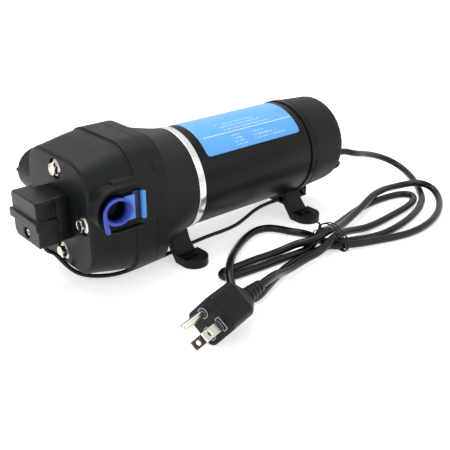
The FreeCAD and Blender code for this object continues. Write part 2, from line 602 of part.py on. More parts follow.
# Rear cap with its cord gland
GLAND_Y, GLAND_Z = -6.0, AXIS - 18.5
GLAND_R = 4.9
WIRE_HOLE = (-17, AXIS - 19)
CAP_DEPTH, CAP_WALL = 37.1, 2.3
# Depth behind the cap's front edge, and how far inside the ring's radius
CAP_STEPS = [(0, 2.5), (0, 0.7), (0.5, 0.7), (0.9, 0), (1.8, 0), (2.2, 0.6), (3.6, 0.5), (32.1, 2.3),
             (34.2, 2.9), (35.9, 4.5), (36.8, 6.3), (CAP_DEPTH, 7.9)]
cap_profile = [(CAP_FRONT + depth, RING_RADIUS - inside) for depth, inside in CAP_STEPS]
CAP_REAR = CAP_FRONT + CAP_DEPTH
cap_profile += [(CAP_REAR, 0), (CAP_REAR - CAP_WALL, 0), (CAP_REAR - CAP_WALL, RING_RADIUS - 7.9),
                (CAP_REAR - 4.0, RING_RADIUS - 5.3), (CAP_REAR - 6.0, RING_RADIUS - 4.6),
                (CAP_FRONT + 4.6, RING_RADIUS - 2.8)]
cap_tools = [cylinder("gland_hole", "x", CAP_REAR - 6.5, GLAND_Y, GLAND_Z, GLAND_R + 0.1, 10),
             cylinder("wire_hole", "x", CAP_REAR - 6.5, *WIRE_HOLE, 1.9, 10)]
node("rear_cap", cut("rear_cap", turned("cap_turned", cap_profile), cap_tools))
RELIEF_LONG = 22.0
gland_profile = [(-3.8, 3.2), (-3.8, 6.4), (-2.5, 6.4), (-2.3, GLAND_R), (0, GLAND_R), (0, 6.6), (1.5, 6.6),
                 (2.0, 5.9), (RELIEF_LONG, 4.2), (RELIEF_LONG, 0), (-2.5, 0), (-2.5, 3.2)]
gland_body = turned("gland_turned", gland_profile, GLAND_Y, GLAND_Z, CAP_REAR)
relief_grooves = []
for k in range(5):
    groove_x = CAP_REAR + 4.0 + 3.2 * k
    relief_grooves.append(ring("gland_groove%d" % k, groove_x, 9.0, 5.1 - 0.27 * k, 1.3, GLAND_Y, GLAND_Z))
node("cord_relief", cut("cord_relief", gland_body, relief_grooves))


# Foot brackets
def foot(name, x, rear_reach):
    """A strip bent round the housing's underside with a pad each side; x is the middle of the screw holes."""
    root = FOOT_Y - 6.5
    half_arch = [(root, 0), (root - 2.5, 0), (root - 11.5, ARCH)]
    half_top = [(root, FOOT_THICK), (root - 6.5, ARCH + 3), (root - 9.5, ARCH + 10), (root - 9.5, ARCH + 19)]
    strip_outline = [(-y, z) for y, z in half_arch] + half_arch[::-1]
    strip_outline += half_top + [(-y, z) for y, z in half_top[::-1]]
    solids = [padded(name + "_strip", strip_outline, x - PAD_R, 17.0)]
    if rear_reach:
        cradle = [(-19, ARCH + 2), (19, ARCH + 2), (19, ARCH + 15), (-19, ARCH + 15)]
        solids.append(padded(name + "_cradle", cradle, x - PAD_R + 17.0, rear_reach))
    tools = []
    for side, sign in (("near", -1), ("far", 1)):
        y = FOOT_Y * sign
        inner = FOOT_Y - 9 if sign > 0 else -FOOT_Y
        solids.append(cylinder(name + "_end_" + side, "z", x, y, 0, PAD_R, "foot_thick"))
        solids.append(box(name + "_pad_" + side, x - PAD_R, inner, 0, 2 * PAD_R, 9.0, "foot_thick"))
        tools.append(cylinder(name + "_hole_" + side, "z", x, y, -1, "foot_hole", "foot_thick + 2"))
    return solids, tools


FOOT_THICK = VALUES["foot_thick"]
PAD_R = 10.5
ARCH = VALUES["under_ring"] - 5.1
WIRE_WAY = (-14, AXIS - 40.4)
front_solids, front_cuts = foot("front_foot", -FOOT_X, 0)
front_cuts += [
    cylinder("front_ring_clear", "x", "ring_front - 0.05", 0, "axis_height",
             "ring_radius", "ring_width + 0.1"),
    cylinder("front_tube_clear", "x", "ring_front + 5", 0, "axis_height", "tube_radius", 10),
    cylinder("front_foot_screw_way", "z", FRONT_SCREW_X, 0, ARCH - 6, 1.6, 20),
]
skirt_clear = fixed("skirt_clear", loft(*SKIRT))
front_rough = cut("front_foot_rough", fuse("front_foot_solid", front_solids), front_cuts)
node("front_foot", cut("front_foot", front_rough, [skirt_clear]))
rear_solids, rear_cuts = foot("rear_foot", FOOT_X, 9.3)
rear_cuts += [
    cylinder("rear_tube_clear", "x", "tube_end - 19.5", 0, "axis_height", "tube_radius", 25),
    cylinder("rear_rim_clear", "x", "tube_end", 0, "axis_height", "ring_radius", 7.5),
    cone("rear_cap_clear", "x", "cap_front + 1.6", 0, "axis_height",
         "ring_radius - 0.35", "ring_radius - 1.3", 15.4),
    cylinder("rear_foot_screw_way", "z", REAR_SCREW_X, 0, ARCH - 6, 1.6, 20),
    cylinder("wire_way_rear", "x", "tube_end - 19.5", *WIRE_WAY, 2.1, 50),
]
node("rear_foot", cut("rear_foot", fuse("rear_foot_solid", rear_solids), rear_cuts))
foot_screw_pieces = []
FOOT_SCREWS = ((FRONT_SCREW_X, AXIS - SKIRT_R + 0.1), (REAR_SCREW_X, AXIS - TUBE_RADIUS + 0.6))
for i, (x, top) in enumerate(FOOT_SCREWS):
    foot_screw_pieces += [
        cylinder("foot_screw_head%d" % i, "z", x, 0, ARCH - 1.8, 3.0, 1.8),
        cylinder("foot_screw_shank%d" % i, "z", x, 0, ARCH, 1.5, top - ARCH),
    ]
node("foot_screws", fuse("foot_screws", foot_screw_pieces))

# Ports: hollow shipping plugs with a pull tab, and slide clips
PLUG_THICK, PLUG_GAP, HOLLOW_R = 1.5, 0.3, 7.0
RIM_R, RIM_SHIFTS = 8.9, (-2.5, 1.7)
MOUTH_R, MOUTH_DEEP, MOUTH_SHIFTS = 6.9, 1.4, (-2.4, 2.0)
CLIP_X, CLIP_LONG, CLIP_HALF = PORT_X + RIM_SHIFTS[1] + RIM_R + PLUG_GAP, 9.6, 9.4
STEP_LONG, LIP_WIDE, LIP_HALF = 3.0, 3.7, 10.2
# Corners of each pull tab: first X from the port axis, first height over it, length, height
TABS = {"near": (-11.4, -14.0, 2.6, 14.0), "far": (-16.0, -0.4, 8.0, 4.6)}
for side, sign, reach, rim in BOSSES:
    plug_low = reach + PLUG_GAP
    plug_top = plug_low + PLUG_THICK
    barrel_end = reach - BORE_DEEP + 1.0
    low, thick = outwards(sign, plug_low, plug_top)
    barrel_low, barrel_long = outwards(sign, barrel_end, plug_low + 0.2)
    hollow_low, hollow_long = outwards(sign, barrel_end + 2.0, plug_top + 1.0)
    mouth_low, mouth_long = outwards(sign, plug_top - MOUTH_DEEP, plug_top)
    tab_x, tab_z, tab_long, tab_high = TABS[side]
    plug_pieces = [
        cylinder("plug_barrel_" + side, "y", "port_x", barrel_low, "port_z", BARREL_R, barrel_long),
        box("plug_middle_" + side, PORT_X + RIM_SHIFTS[0], low, PORT_Z - RIM_R,
            RIM_SHIFTS[1] - RIM_SHIFTS[0], thick, 2 * RIM_R),
        box("plug_tab_" + side, PORT_X + tab_x, low, PORT_Z + tab_z, tab_long, thick, tab_high),
    ]
    plug_tools = [cylinder("plug_hollow_" + side, "y", "port_x", hollow_low, "port_z", HOLLOW_R, hollow_long)]
    for k, shift in enumerate(RIM_SHIFTS):
        rim_name = "plug_rim%d_%s" % (k, side)
        plug_pieces.append(cylinder(rim_name, "y", PORT_X + shift, low, "port_z", RIM_R, thick))
    for k, shift in enumerate(MOUTH_SHIFTS):
        plug_tools.append(cylinder("plug_mouth%d_%s" % (k, side), "y", PORT_X + shift, mouth_low, "port_z",
                                   MOUTH_R, mouth_long))
    node("port_plug_" + side, cut("port_plug_" + side, fuse("plug_solid_" + side, plug_pieces), plug_tools))
    clip_floor = reach - POCKET_DEEP + PLUG_GAP
    base_low, base_thick = outwards(sign, clip_floor, clip_floor + 1.2)
    step_low, step_thick = outwards(sign, clip_floor, reach)
    lip_low, lip_thick = outwards(sign, clip_floor, plug_top)
    node("clip_" + side, fuse("clip_" + side, [
        box("clip_base_" + side, CLIP_X, base_low, PORT_Z - CLIP_HALF, CLIP_LONG, base_thick, 2 * CLIP_HALF),
        box("clip_step_" + side, CLIP_X, step_low, PORT_Z - CLIP_HALF, STEP_LONG, step_thick, 2 * CLIP_HALF),
        box("clip_lip_" + side, CLIP_X + CLIP_LONG - LIP_WIDE, lip_low, PORT_Z - LIP_HALF,
            LIP_WIDE, lip_thick, 2 * LIP_HALF),
    ]))

# Pressure switch on the head's front
SWITCH_SPLIT = FACE - 10.6
SWITCH_FRONT = SWITCH_SPLIT - 14.0


def switch_outline(points):
    """(Y, Z) points from (Y, height over the switch's axis)."""
    return [(y, SWITCH_Z + rise) for y, rise in points]


base_outline = switch_outline([(-15, -6), (13, -6), (15, -4), (15, 22.5), (13, 24.5), (-13, 24.5),
                               (-15, 22.5)])
base_body = padded("switch_base_body", base_outline, SWITCH_SPLIT, FACE - SWITCH_SPLIT)
base_tools = [
    cylinder("pressure_bore", "x", "face_x - 3", "switch_y", "switch_z", 5.2, 3.5),
    cylinder("plunger_bore", "x", SWITCH_SPLIT - 1, "switch_y", "switch_z", 2.4, 12),
]
for i, (y, z) in enumerate(SWITCH_SCREWS):
    base_tools.append(cylinder("base_screw_hole%d" % i, "x", SWITCH_SPLIT - 1, y, z, 1.3, 12))
node("switch_base", cut("switch_base", fuse("switch_base_solid", [
    base_body,
    cylinder("base_boss", "x", SWITCH_SPLIT, *SWITCH_SCREWS[0], 3.5, FACE - SWITCH_SPLIT),
]), base_tools))
cover_outline = switch_outline([(-17.5, -6), (14.5, -6), (17.5, -3), (17.5, 23.5), (15.5, 25.5),
                                (-15.5, 25.5), (-17.5, 23.5)])
bead_outline = switch_outline([(-19.3, 6.3), (19.3, 6.3), (19.3, 12.8), (-19.3, 12.8)])
hollow_outline = switch_outline([(-15.5, -4), (13.7, -4), (15.5, -2.2), (15.5, 23.5), (-15.5, 23.5)])
COVER_WALL = 2.2
cover_solid = fuse("cover_solid", [
    padded("cover_box", cover_outline, SWITCH_FRONT, SWITCH_SPLIT - SWITCH_FRONT),
    padded("cover_bead", bead_outline, SWITCH_FRONT - 1.8, SWITCH_SPLIT - SWITCH_FRONT + 1.8),
])
cover_tools = [
    padded("cover_hollow", hollow_outline, SWITCH_FRONT + COVER_WALL,
           SWITCH_SPLIT - SWITCH_FRONT - COVER_WALL),
    cylinder("screw_window", "x", SWITCH_FRONT - 1, "switch_y", "switch_z", 3.7, 4),
    cylinder("wire_exit", "z", SWITCH_FRONT + 7, -8, "switch_z - 8.5", 1.7, 6),
]
cover_parts = [cut("cover_shell", cover_solid, cover_tools)]
cover_holes = []
switch_screw_pieces = []
for i, (y, z) in enumerate(SWITCH_SCREWS):
    cover_parts.append(cylinder("cover_post%d" % i, "x", SWITCH_FRONT + 1, y, z, 2.9, 13))
    cover_holes.append(cylinder("cover_hole%d" % i, "x", SWITCH_FRONT + 4, y, z, 1.3, 11))
    switch_screw_pieces.append(cylinder("switch_screw%d" % i, "x", SWITCH_FRONT + 5, y, z, 1.25, 25))
node("switch_cover", cut("switch_cover", fuse("cover_filled", cover_parts), cover_holes))
node("switch_screws", fuse("switch_screws", switch_screw_pieces))
node("switch_diaphragm", cylinder("switch_diaphragm", "x", "face_x - 2.2", "switch_y", "switch_z", 5.0, 1.0))
node("switch_plunger", fuse("switch_plunger", [
    cylinder("plunger_rod", "x", SWITCH_FRONT + 9.5, "switch_y", "switch_z", 2.33, 12.5),
    cylinder("plunger_flange", "x", SWITCH_FRONT + 9.5, "switch_y", "switch_z", 3.6, 1.2),
    cylinder("plunger_pilot", "x", SWITCH_FRONT + 8, "switch_y", "switch_z", 1.4, 2.0),
]))
node("switch_spring", helix("switch_spring", SWITCH_FRONT + 4.75, 0, SWITCH_Z, 2.6, 0.35, 1.4, 4.1))
node("adjusting_screw", cut("adjusting_screw", fuse("adjuster", [
    cylinder("adjuster_disc", "x", SWITCH_FRONT + 2.5, "switch_y", "switch_z", 3.6, 1.6),
    cylinder("adjuster_head", "x", SWITCH_FRONT + 1.0, "switch_y", "switch_z", 2.2, 1.8),
]), [box("adjuster_slot", SWITCH_FRONT + 0.5, -2.6, "switch_z - 0.35", 1.3, 5.2, 0.7)]))
micro_ways = []
for i, y in enumerate((-4.75, 4.75)):
    micro_ways.append(cylinder("micro_hole%d" % i, "x", SWITCH_FRONT + 2, y, "switch_z + 14", 1.2, 12))
micro_body = box("micro_body", SWITCH_FRONT + COVER_WALL, -9.8, "switch_z + 7", 8.5, 19.6, 10.0)
node("microswitch", cut("microswitch", micro_body, micro_ways))

# Moulded plug, in its own axes: S across the blades, T towards the round pin, P along the prongs
YAW, ROLL = math.radians(195.8), math.radians(-49.8)
PLUG_AT = Vector(-118.3, -128.9, 13.3)
P = Vector(math.cos(YAW), math.sin(YAW), 0)
across = Vector(-P.y, P.x, 0)
above = P.cross(across)
T = above * math.cos(ROLL) + across * math.sin(ROLL)
S = T.cross(P)
PLUG_FRAME = Placement(Matrix(S.x, T.x, P.x, PLUG_AT.x, S.y, T.y, P.y, PLUG_AT.y,
                              S.z, T.z, P.z, PLUG_AT.z, 0, 0, 0, 1))


def plug_section(z, half, low, high, radius):
    """A rounded rectangle in the plug's own S-T plane."""
    k = radius * (1 - math.sqrt(0.5))
    rows = [((half - radius, high), (half - k, high - k), (half, high - radius)),
            ((half, low + radius), (half - k, low + k), (half - radius, low)),
            ((-half + radius, low), (-half + k, low + k), (-half, low + radius)),
            ((-half, high - radius), (-half + k, high - k), (-half + radius, high))]
    edges = []
    for i, (first, middle, last) in enumerate(rows):
        edges.append(Part.Arc(Vector(*first, z), Vector(*middle, z), Vector(*last, z)).toShape())
        following = rows[(i + 1) % 4][0]
        edges.append(Part.LineSegment(Vector(*last, z), Vector(*following, z)).toShape())
    return Part.Wire(edges)


BLADE_HALF, BLADE_GAP, BLADE_LONG, BLADE_THICK = 6.35 / 2, 12.7, 17.5, 1.5
PIN_T, PIN_R, PIN_LONG, SINK = 11.9, 2.38, 21.0, 8.0
block_end = plug_section(-22, 13.5, -7.0, 16.5, 5)
body_shape = Part.makeLoft([plug_section(0, 13.5, -7.5, 17.5, 5), block_end], True, False)
body_shape = body_shape.fuse(Part.makeLoft([block_end, plug_section(-33, 8.0, -4.5, 11.5, 5)], True, False))
blade_shapes = []
for sign in (-1, 1):
    blade_corner = Vector(sign * BLADE_GAP / 2 - BLADE_THICK / 2, -BLADE_HALF, -SINK)
    blade = Part.makeBox(BLADE_THICK, 2 * BLADE_HALF, BLADE_LONG + SINK, blade_corner)
    blade = blade.cut(Part.makeCylinder(1.6, 4, Vector(sign * BLADE_GAP / 2 - 2, 0, 12.5), Vector(1, 0, 0)))
    blade_shapes.append(blade)
    body_shape = body_shape.cut(Part.makeBox(BLADE_THICK, 2 * BLADE_HALF, SINK, blade_corner))
pin_shape = Part.makeCylinder(PIN_R, PIN_LONG - 1.5 + SINK, Vector(0, PIN_T, -SINK))
pin_shape = pin_shape.fuse(Part.makeCone(PIN_R, PIN_R - 1.1, 1.5, Vector(0, PIN_T, PIN_LONG - 1.5)))
body_shape = body_shape.cut(Part.makeCylinder(PIN_R, SINK, Vector(0, PIN_T, -SINK)))
for sign in (-1, 1):
    for k in range(4):
        body_shape = body_shape.cut(Part.makeBox(0.8, 14, 1.2, Vector(sign * 13.5 - 0.4, -2, -6.5 - 3.2 * k)))
node("plug_body", fixed("plug_body", body_shape.removeSplitter(), PLUG_FRAME))
node("plug_blades", fixed("plug_blades", Part.makeCompound(blade_shapes), PLUG_FRAME))
node("ground_pin", fixed("ground_pin", pin_shape, PLUG_FRAME))
CORD_T = 3.5
relief = Part.makeCone(4.3, 6.6, 22, Vector(0, CORD_T, -55))
for k in range(5):
    groove = Part.makeCylinder(9, 1.5, Vector(0, CORD_T, -52 + 3.8 * k))
    core = Part.makeCylinder(3.9 + 0.35 * k, 1.5, Vector(0, CORD_T, -52 + 3.8 * k))
    bridge = Part.makeBox(3.0, 20, 1.5, Vector(-1.5, CORD_T - 10, -52 + 3.8 * k))
    relief = relief.cut(groove.cut(core).cut(bridge))
node("plug_relief", fixed("plug_relief", relief, PLUG_FRAME))
RELIEF_END = PLUG_FRAME.multVec(Vector(0, CORD_T, -55))
print("plug relief ends at %.2f %.2f %.2f" % tuple(RELIEF_END))

# Mains cord: the free stretch from the cap, then the tied hank up to the plug
RELIEF_X = CAP_REAR + RELIEF_LONG
CORD = [
    (RELIEF_X, GLAND_Y, GLAND_Z), (RELIEF_X + 12.5, GLAND_Y, GLAND_Z), (149.6, -9.3, GLAND_Z - 5.2),
    (169.2, -4.4, 25.7), (192.8, -2.2, 17.7),
    (207.9, -7.2, 10.7), (210.9, -20.2, 5.8), (200, -40.4, 3.7), (182.9, -60.2, 3.1), (163.7, -76.8, 3.2),
    (154.05, -81.9, 3.2),
]
HANK = [
    (154.05, -81.9, 3.2), (144.4, -87, 3.2), (122.7, -93.7, 3.1), (101.3, -97.6, 3.1), (81.2, -98.6, 3.1),
    (66.5, -95.9, 3.1), (54.9, -91.5, 3.3), (45.3, -86.8, 3.1), (39.3, -83.2, 4.2), (31.2, -79.2, 4.5),
    (33.9, -67.4, 4.1), (33.7, -57, 3.3), (28.2, -48.2, 3.2), (24, -37.7, 3.3), (17.8, -30.2, 3.4),
    (6.1, -28.6, 3.5), (-10.2, -34.3, 3.5), (-30.3, -47.6, 6.2), (-49.2, -63.2, 10.2), (-61.7, -75.7, 9.8),
    (-66.9, -83.8, 5.7), (-69.7, -92, 3.1), (-71.2, -101.1, 3.1), (-67.3, -105.5, 3.1), (-58.8, -104.4, 3.1),
    (-47.7, -99.6, 3.1), (-32.7, -93.3, 3.1), (-15.9, -87.8, 3.1), (1.5, -85, 3.1), (18.3, -85.7, 3.8),
    (30.9, -86, 4.6), (33.7, -89.8, 4.3), (41.3, -94.1, 4.5), (53.3, -98.7, 3.8), (67.2, -103, 3.4),
    (81.1, -107.6, 3.2), (96.3, -111.2, 3.1), (115.1, -111.8, 3.1), (136.1, -107.8, 3.1), (159.7, -97.6, 3.1),
    (180.5, -82.4, 3.4), (187.2, -70.3, 6.6), (181, -61.8, 10.4), (176.7, -52, 7.7), (165.9, -45.8, 5.8),
    (146.5, -47, 8.4), (124.3, -52.3, 10.4), (101.1, -59.8, 8.2), (80.7, -66.1, 7.2), (61.8, -72.4, 7.5),
    (46, -77.7, 10.6), (31, -82.6, 15.1), (19.8, -82.7, 12.2), (12.6, -79.3, 10.6), (6.9, -74, 8.8),
    (-1.1, -69.7, 5.2), (-13.8, -66.7, 3.3), (-26.9, -64.8, 3.1), (-41.2, -64.9, 3.1), (-50.7, -64.7, 3.1),
    (-56.4, -63.3, 3.1), (-61.2, -67.1, 3.1), (-59.4, -72.1, 3.1), (-48.6, -74, 3.1), (-34.7, -75.3, 3.1),
    (-22.5, -76.4, 3.2), (-8.7, -76.9, 3.1), (3.3, -78.2, 3.1), (13.1, -78.6, 3.1), (21.3, -78.9, 6.3),
    (30.9, -75.8, 12.1), (41.9, -72.2, 9.1), (58.1, -67.1, 5.2), (80.4, -59.3, 3.1), (101.6, -54, 3.1),
    (120.5, -52, 3.1), (137.7, -52.1, 3.1), (150.4, -54, 3.2), (160.8, -56.9, 3.2), (165.6, -63.1, 3.1),
    (161.2, -70.2, 3.1), (150.1, -75.4, 3.1), (135.7, -78.4, 3.1), (117.9, -80.4, 3.1), (98, -82.4, 3.1),
    (79.6, -83.4, 3.7), (64.8, -82.7, 5.6), (48.8, -83.9, 9.5), (31, -89.1, 11.9), (16.5, -91.9, 7.8),
    (7.2, -91.4, 6), (-4.1, -92.1, 5.8), (-18.7, -95, 6.1), (-34.3, -99.1, 9),
    (-51.1, -107.1, 15.56), (-66.1, -111.35, 15.56),
]

cord_shape, cord_wire, cord_radii = tube("mains_cord", CORD, VALUES["cord_radius"])
node("mains_cord", fixed("mains_cord", cord_shape))
hank_shape, hank_wire, hank_radii = tube("cord_hank", HANK, VALUES["cord_radius"])
node("cord_hank", fixed("cord_hank", hank_shape))


def least_gap(wire, diameter, step=2.0):
    """The least clear distance between strands of one cord, from points along its middle."""
    points = []
    for edge in wire.OrderedEdges:
        count = max(2, int(edge.Length / step) + 1)
        points += edge.discretize(count)[:-1]
    skip = int(math.pi * diameter / step)
    least = 1e9
    for i, first in enumerate(points):
        for second in points[i + skip:]:
            least = min(least, first.distanceToPoint(second))
    return least - diameter


print("hank: %d points, radii %s" % (len(HANK), ["%.0f" % r for r in hank_radii]))
print("cord: radii %s" % ["%.0f" % r for r in cord_radii])
print("hank: least gap to itself %.2f" % least_gap(hank_wire, 2 * VALUES["cord_radius"]))

# Twist tie: two wraps round the five strands and its twisted ends
TIE_OUTLINE = [(-98.6, 0.55), (-76.5, 0.55), (-68.6, 7.5), (-69.6, 14.2), (-77.5, 17.9), (-84.0, 18.2),
               (-96.0, 11.2)]
TIE_RADIUS = 0.5
tie_shape = None
for x in (37.2, 39.2):
    corners = [Vector(x, y, z) for y, z in TIE_OUTLINE]
    start = (corners[0] + corners[-1]) * 0.5
    wrap = [start] + corners + [start]
    path, radii = tube_path(wrap)
    circle = Part.Wire([Part.makeCircle(TIE_RADIUS, start, corners[0] - start)])
    solid = path.makePipeShell([circle], True, False)
    tie_shape = solid if tie_shape is None else tie_shape.fuse(solid)
for end in ([(38.2, -70.4, 15.0), (34.5, -67.6, 17.4), (30.5, -68.2, 18.4)],
            [(37.2, -69.0, 9.6), (33.6, -67.9, 9.2), (30.2, -69.4, 8.2)],
            [(36.8, -87.4, 16.2), (38.4, -87.2, 17.0), (39.8, -87.6, 16.0)]):
    tie_shape = tie_shape.fuse(tube("tie_end", end, TIE_RADIUS)[0])
node("cord_tie", fixed("cord_tie", tie_shape))
print("tie to hank: %.2f" % tie_shape.distToShape(hank_shape)[0])

# Two-core wire of the pressure switch, under the pump to the rear cap
WIRE_X = SWITCH_FRONT + 7.0
WIRE = [
    (WIRE_X, -8, SWITCH_Z - 2), (WIRE_X, -8, SWITCH_Z - 8.5), (WIRE_X + 2.5, -7, SWITCH_Z - 14),
    (-155, -4.5, 28), (-150.5, -6.8, 20.1), (-145.5, -10.5, 13.2), (-139, -12.2, 8.6),
    (-130, -13.5, 5), (-120, -16.5, 3.6), (-111, -17.3, 2.9),
    (-101, -17, 2.8), (-84, -15.5, 2.6), (-65, -14, 2.6), (-45, -11.5, 2.6),
    (-26, -10, 2.6), (-10, -10, 2.2), (4, -10, 3.2), (14, -10, 6.8), (24, -10.5, 11.4),
    (36, -12, WIRE_WAY[1] - 0.6), (48, -13.6, WIRE_WAY[1]), (62, *WIRE_WAY), (78, *WIRE_WAY),
    (85, -9, 14.2), (91, -1, 14.4), (98, 3, 15.6), (105, 0, 18.6), (CAP_REAR + 9.5, -7, 22.5),
    (CAP_REAR + 15, -13.5, 26.5), (CAP_REAR + 17, -17.5, 31), (CAP_REAR + 13, -18.2, WIRE_HOLE[1] - 1.2),
    (CAP_REAR + 6.5, *WIRE_HOLE), (CAP_REAR - 4.5, *WIRE_HOLE),
]
wire_shape = tube("switch_wire", WIRE, 1.5)[0]
node("switch_wire", fixed("switch_wire", wire_shape))

# Blank rating label wrapped on the tube
LABEL_LO, LABEL_HI, LABEL_FROM, LABEL_TO = RING_FRONT + 14, TUBE_END - 7.7, -54.3, 54.3
LABEL_THICK = 0.15
label_start = Vector(LABEL_LO, 0, AXIS)
along_x = Vector(1, 0, 0)
label_ring = Part.makeCylinder(TUBE_RADIUS + LABEL_THICK, LABEL_HI - LABEL_LO, label_start, along_x)
label_ring = label_ring.cut(Part.makeCylinder(TUBE_RADIUS, LABEL_HI - LABEL_LO, label_start, along_x))
reach = TUBE_RADIUS + 22.0
wedge_points = [Vector(LABEL_LO - 1, 0, AXIS)]
for angle in (LABEL_FROM, 0.0, LABEL_TO):
    wedge_points.append(Vector(LABEL_LO - 1, -reach * math.sin(math.radians(angle)),
                               AXIS + reach * math.cos(math.radians(angle))))
wedge_face = Part.Face(Part.makePolygon(wedge_points + wedge_points[:1]))
wedge = wedge_face.extrude(Vector(LABEL_HI - LABEL_LO + 2, 0, 0))
node("rating_label", fixed("rating_label", label_ring.common(wedge)))

# Checks, then one file for each node
doc.recompute()
faults = []
for item in doc.Objects:
    if "Invalid" in item.State or "Error" in item.State:
        faults.append("%s %s" % (item.Label, item.State))
for item in nodes:
    shape = item.Shape
    if shape.isNull() or not shape.isValid() or shape.Volume <= 0:
        faults.append("%s has no sound shape" % item.Label)
for fault in faults:
    print("FAULT", fault)
if faults:
    raise SystemExit("stopped: %d faults" % len(faults))
for item in nodes:
    item.Shape.exportStep("parts/%s.step" % item.Label)
    bounds = item.Shape.BoundBox
    print("%-20s solids %d volume %9.1f  X %.1f..%.1f  Y %.1f..%.1f  Z %.1f..%.1f"
          % (item.Label, len(item.Shape.Solids), item.Shape.Volume, bounds.XMin, bounds.XMax,
             bounds.YMin, bounds.YMax, bounds.ZMin, bounds.ZMax))
print("%d nodes" % len(nodes))
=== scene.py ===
# %% [markdown]
# # A diaphragm water pump, dressed for its picture
# A mains-powered pump of the kind that feeds the taps of a caravan: a moulded black head with four
# bolts, a round steel motor, two foot brackets and a plug on a tied cord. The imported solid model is
# loaded as a fixed frame. Every visible piece is then given its finish, or is built again as a finer
# surface in the same place.

# %% Load the frame and keep its box
import json
import math
import bmesh
import bpy
import numpy as np
from mathutils import Matrix, Vector


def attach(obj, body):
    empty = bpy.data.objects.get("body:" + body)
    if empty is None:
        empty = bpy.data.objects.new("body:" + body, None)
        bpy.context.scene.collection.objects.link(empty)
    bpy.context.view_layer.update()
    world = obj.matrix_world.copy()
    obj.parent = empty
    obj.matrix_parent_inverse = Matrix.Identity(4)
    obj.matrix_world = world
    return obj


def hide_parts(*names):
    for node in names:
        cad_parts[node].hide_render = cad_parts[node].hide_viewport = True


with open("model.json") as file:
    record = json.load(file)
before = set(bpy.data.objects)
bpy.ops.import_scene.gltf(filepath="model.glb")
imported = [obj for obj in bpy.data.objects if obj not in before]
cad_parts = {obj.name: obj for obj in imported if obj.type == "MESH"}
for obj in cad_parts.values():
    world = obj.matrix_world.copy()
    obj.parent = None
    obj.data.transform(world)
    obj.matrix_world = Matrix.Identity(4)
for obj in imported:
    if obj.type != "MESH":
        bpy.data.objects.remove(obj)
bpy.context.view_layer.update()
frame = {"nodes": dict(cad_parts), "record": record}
nodes = frame["nodes"]
MM = 0.001

# %% [markdown]
# ## Main sizes
# The long axis of the motor is X, at one height over the floor. Stations along it are worked out from
# the ring, the housing, the head and the tube, as in the solid model. The two ports reach out to
# different distances from the middle.

# %% Sizes in millimetres
AXIS = 55.0
TUBE_R, RING_R = 38.0, 38.9
RING_FRONT, RING_WIDE, TUBE_END = -56.4, 6.0, 59.5
SEAM = RING_FRONT - 41.0
FACE = SEAM - 49.0
CAP_FRONT = TUBE_END + 4.9
CAP_REAR = CAP_FRONT + 37.1
PORT_X, PORT_Z = SEAM - 33.0, AXIS + 11.0
NEAR_REACH, FAR_REACH = 48.5, 58.0
BOLT_CIRCLE, BOLT_SEAT = 30.0, FACE + 2.2

# %% [markdown]
# ## Camera
# The picture was taken from the left front, a little above, with a normal lens. Its place comes from
# the circles of the motor and the square of the feet, whose sizes are known from the solid model.

# %% Camera at the picture's place
LENS, SENSOR = 57.2, 36.0
CAMERA_AT = Vector((-348.6, -404.9, 246.2)) * MM
RIGHT, UP = Vector((0.7578, -0.6525, 0.0)), Vector((0.2724, 0.3164, 0.9087))
BACK = Vector((-0.5929, -0.6886, 0.4175))
camera = bpy.data.objects.new("camera", bpy.data.cameras.new("camera"))
bpy.context.scene.collection.objects.link(camera)
camera.data.lens = LENS
camera.data.sensor_width = SENSOR
camera.data.clip_start = 0.01
camera.data.clip_end = 20
camera.matrix_world = Matrix.Translation(CAMERA_AT) @ Matrix((RIGHT, UP, BACK)).transposed().to_4x4()
bpy.context.scene.camera = camera
bpy.context.scene.view_settings.view_transform = "Standard"
print("camera at", [round(v, 4) for v in CAMERA_AT])

# %% [markdown]
# ## A helper for nodes and one for colours
# Every finish below is a small network of shader nodes. One function adds a node with its settings
# and links, and one turns the usual sRGB colour codes into the linear values that shaders use.


# %% Node and colour helpers
def add(tree, kind, inputs=None, **settings):
    """Adds one node: settings are its properties, and inputs gives each socket a value or an output."""
    item = tree.nodes.new("ShaderNode" + kind)
    for name, value in settings.items():
        setattr(item, name, value)
    for socket, value in (inputs or {}).items():
        if isinstance(value, bpy.types.NodeSocket):
            tree.links.new(value, item.inputs[socket])
        else:
            item.inputs[socket].default_value = value
    return item


def linear(code):
    """The linear colour of an sRGB hex value such as '#1a1b1c'."""
    parts = [int(code[i:i + 2], 16) / 255 for i in (1, 3, 5)]
    return [p / 12.92 if p <= 0.04045 else ((p + 0.055) / 1.055) ** 2.4 for p in parts] + [1.0]


def fresh_material(name):
    """An empty material with its Principled shader and output, and Object coordinates."""
    material = bpy.data.materials.new(name)
    material.use_nodes = True
    tree = material.node_tree
    tree.nodes.clear()
    shader = add(tree, "BsdfPrincipled")
    add(tree, "OutputMaterial", {"Surface": shader.outputs[0]})
    place = add(tree, "TexCoord").outputs["Object"]
    return material, tree, shader, place


def mixed(tree, factor, first, second):
    """The colour output of a mix between two colours, each a value or an output."""
    return add(tree, "Mix", {0: factor, 6: first, 7: second}, data_type="RGBA").outputs[2]


def seen_directly(tree):
    """One for camera, glossy and transmission rays, which see the white ground, and zero for the rest."""
    rays = add(tree, "LightPath")
    seen = add(tree, "Math", {0: rays.outputs["Is Camera Ray"], 1: rays.outputs["Is Glossy Ray"]},
               operation="MAXIMUM")
    return add(tree, "Math", {0: seen.outputs[0], 1: rays.outputs["Is Transmission Ray"]},
               operation="MAXIMUM").outputs[0]


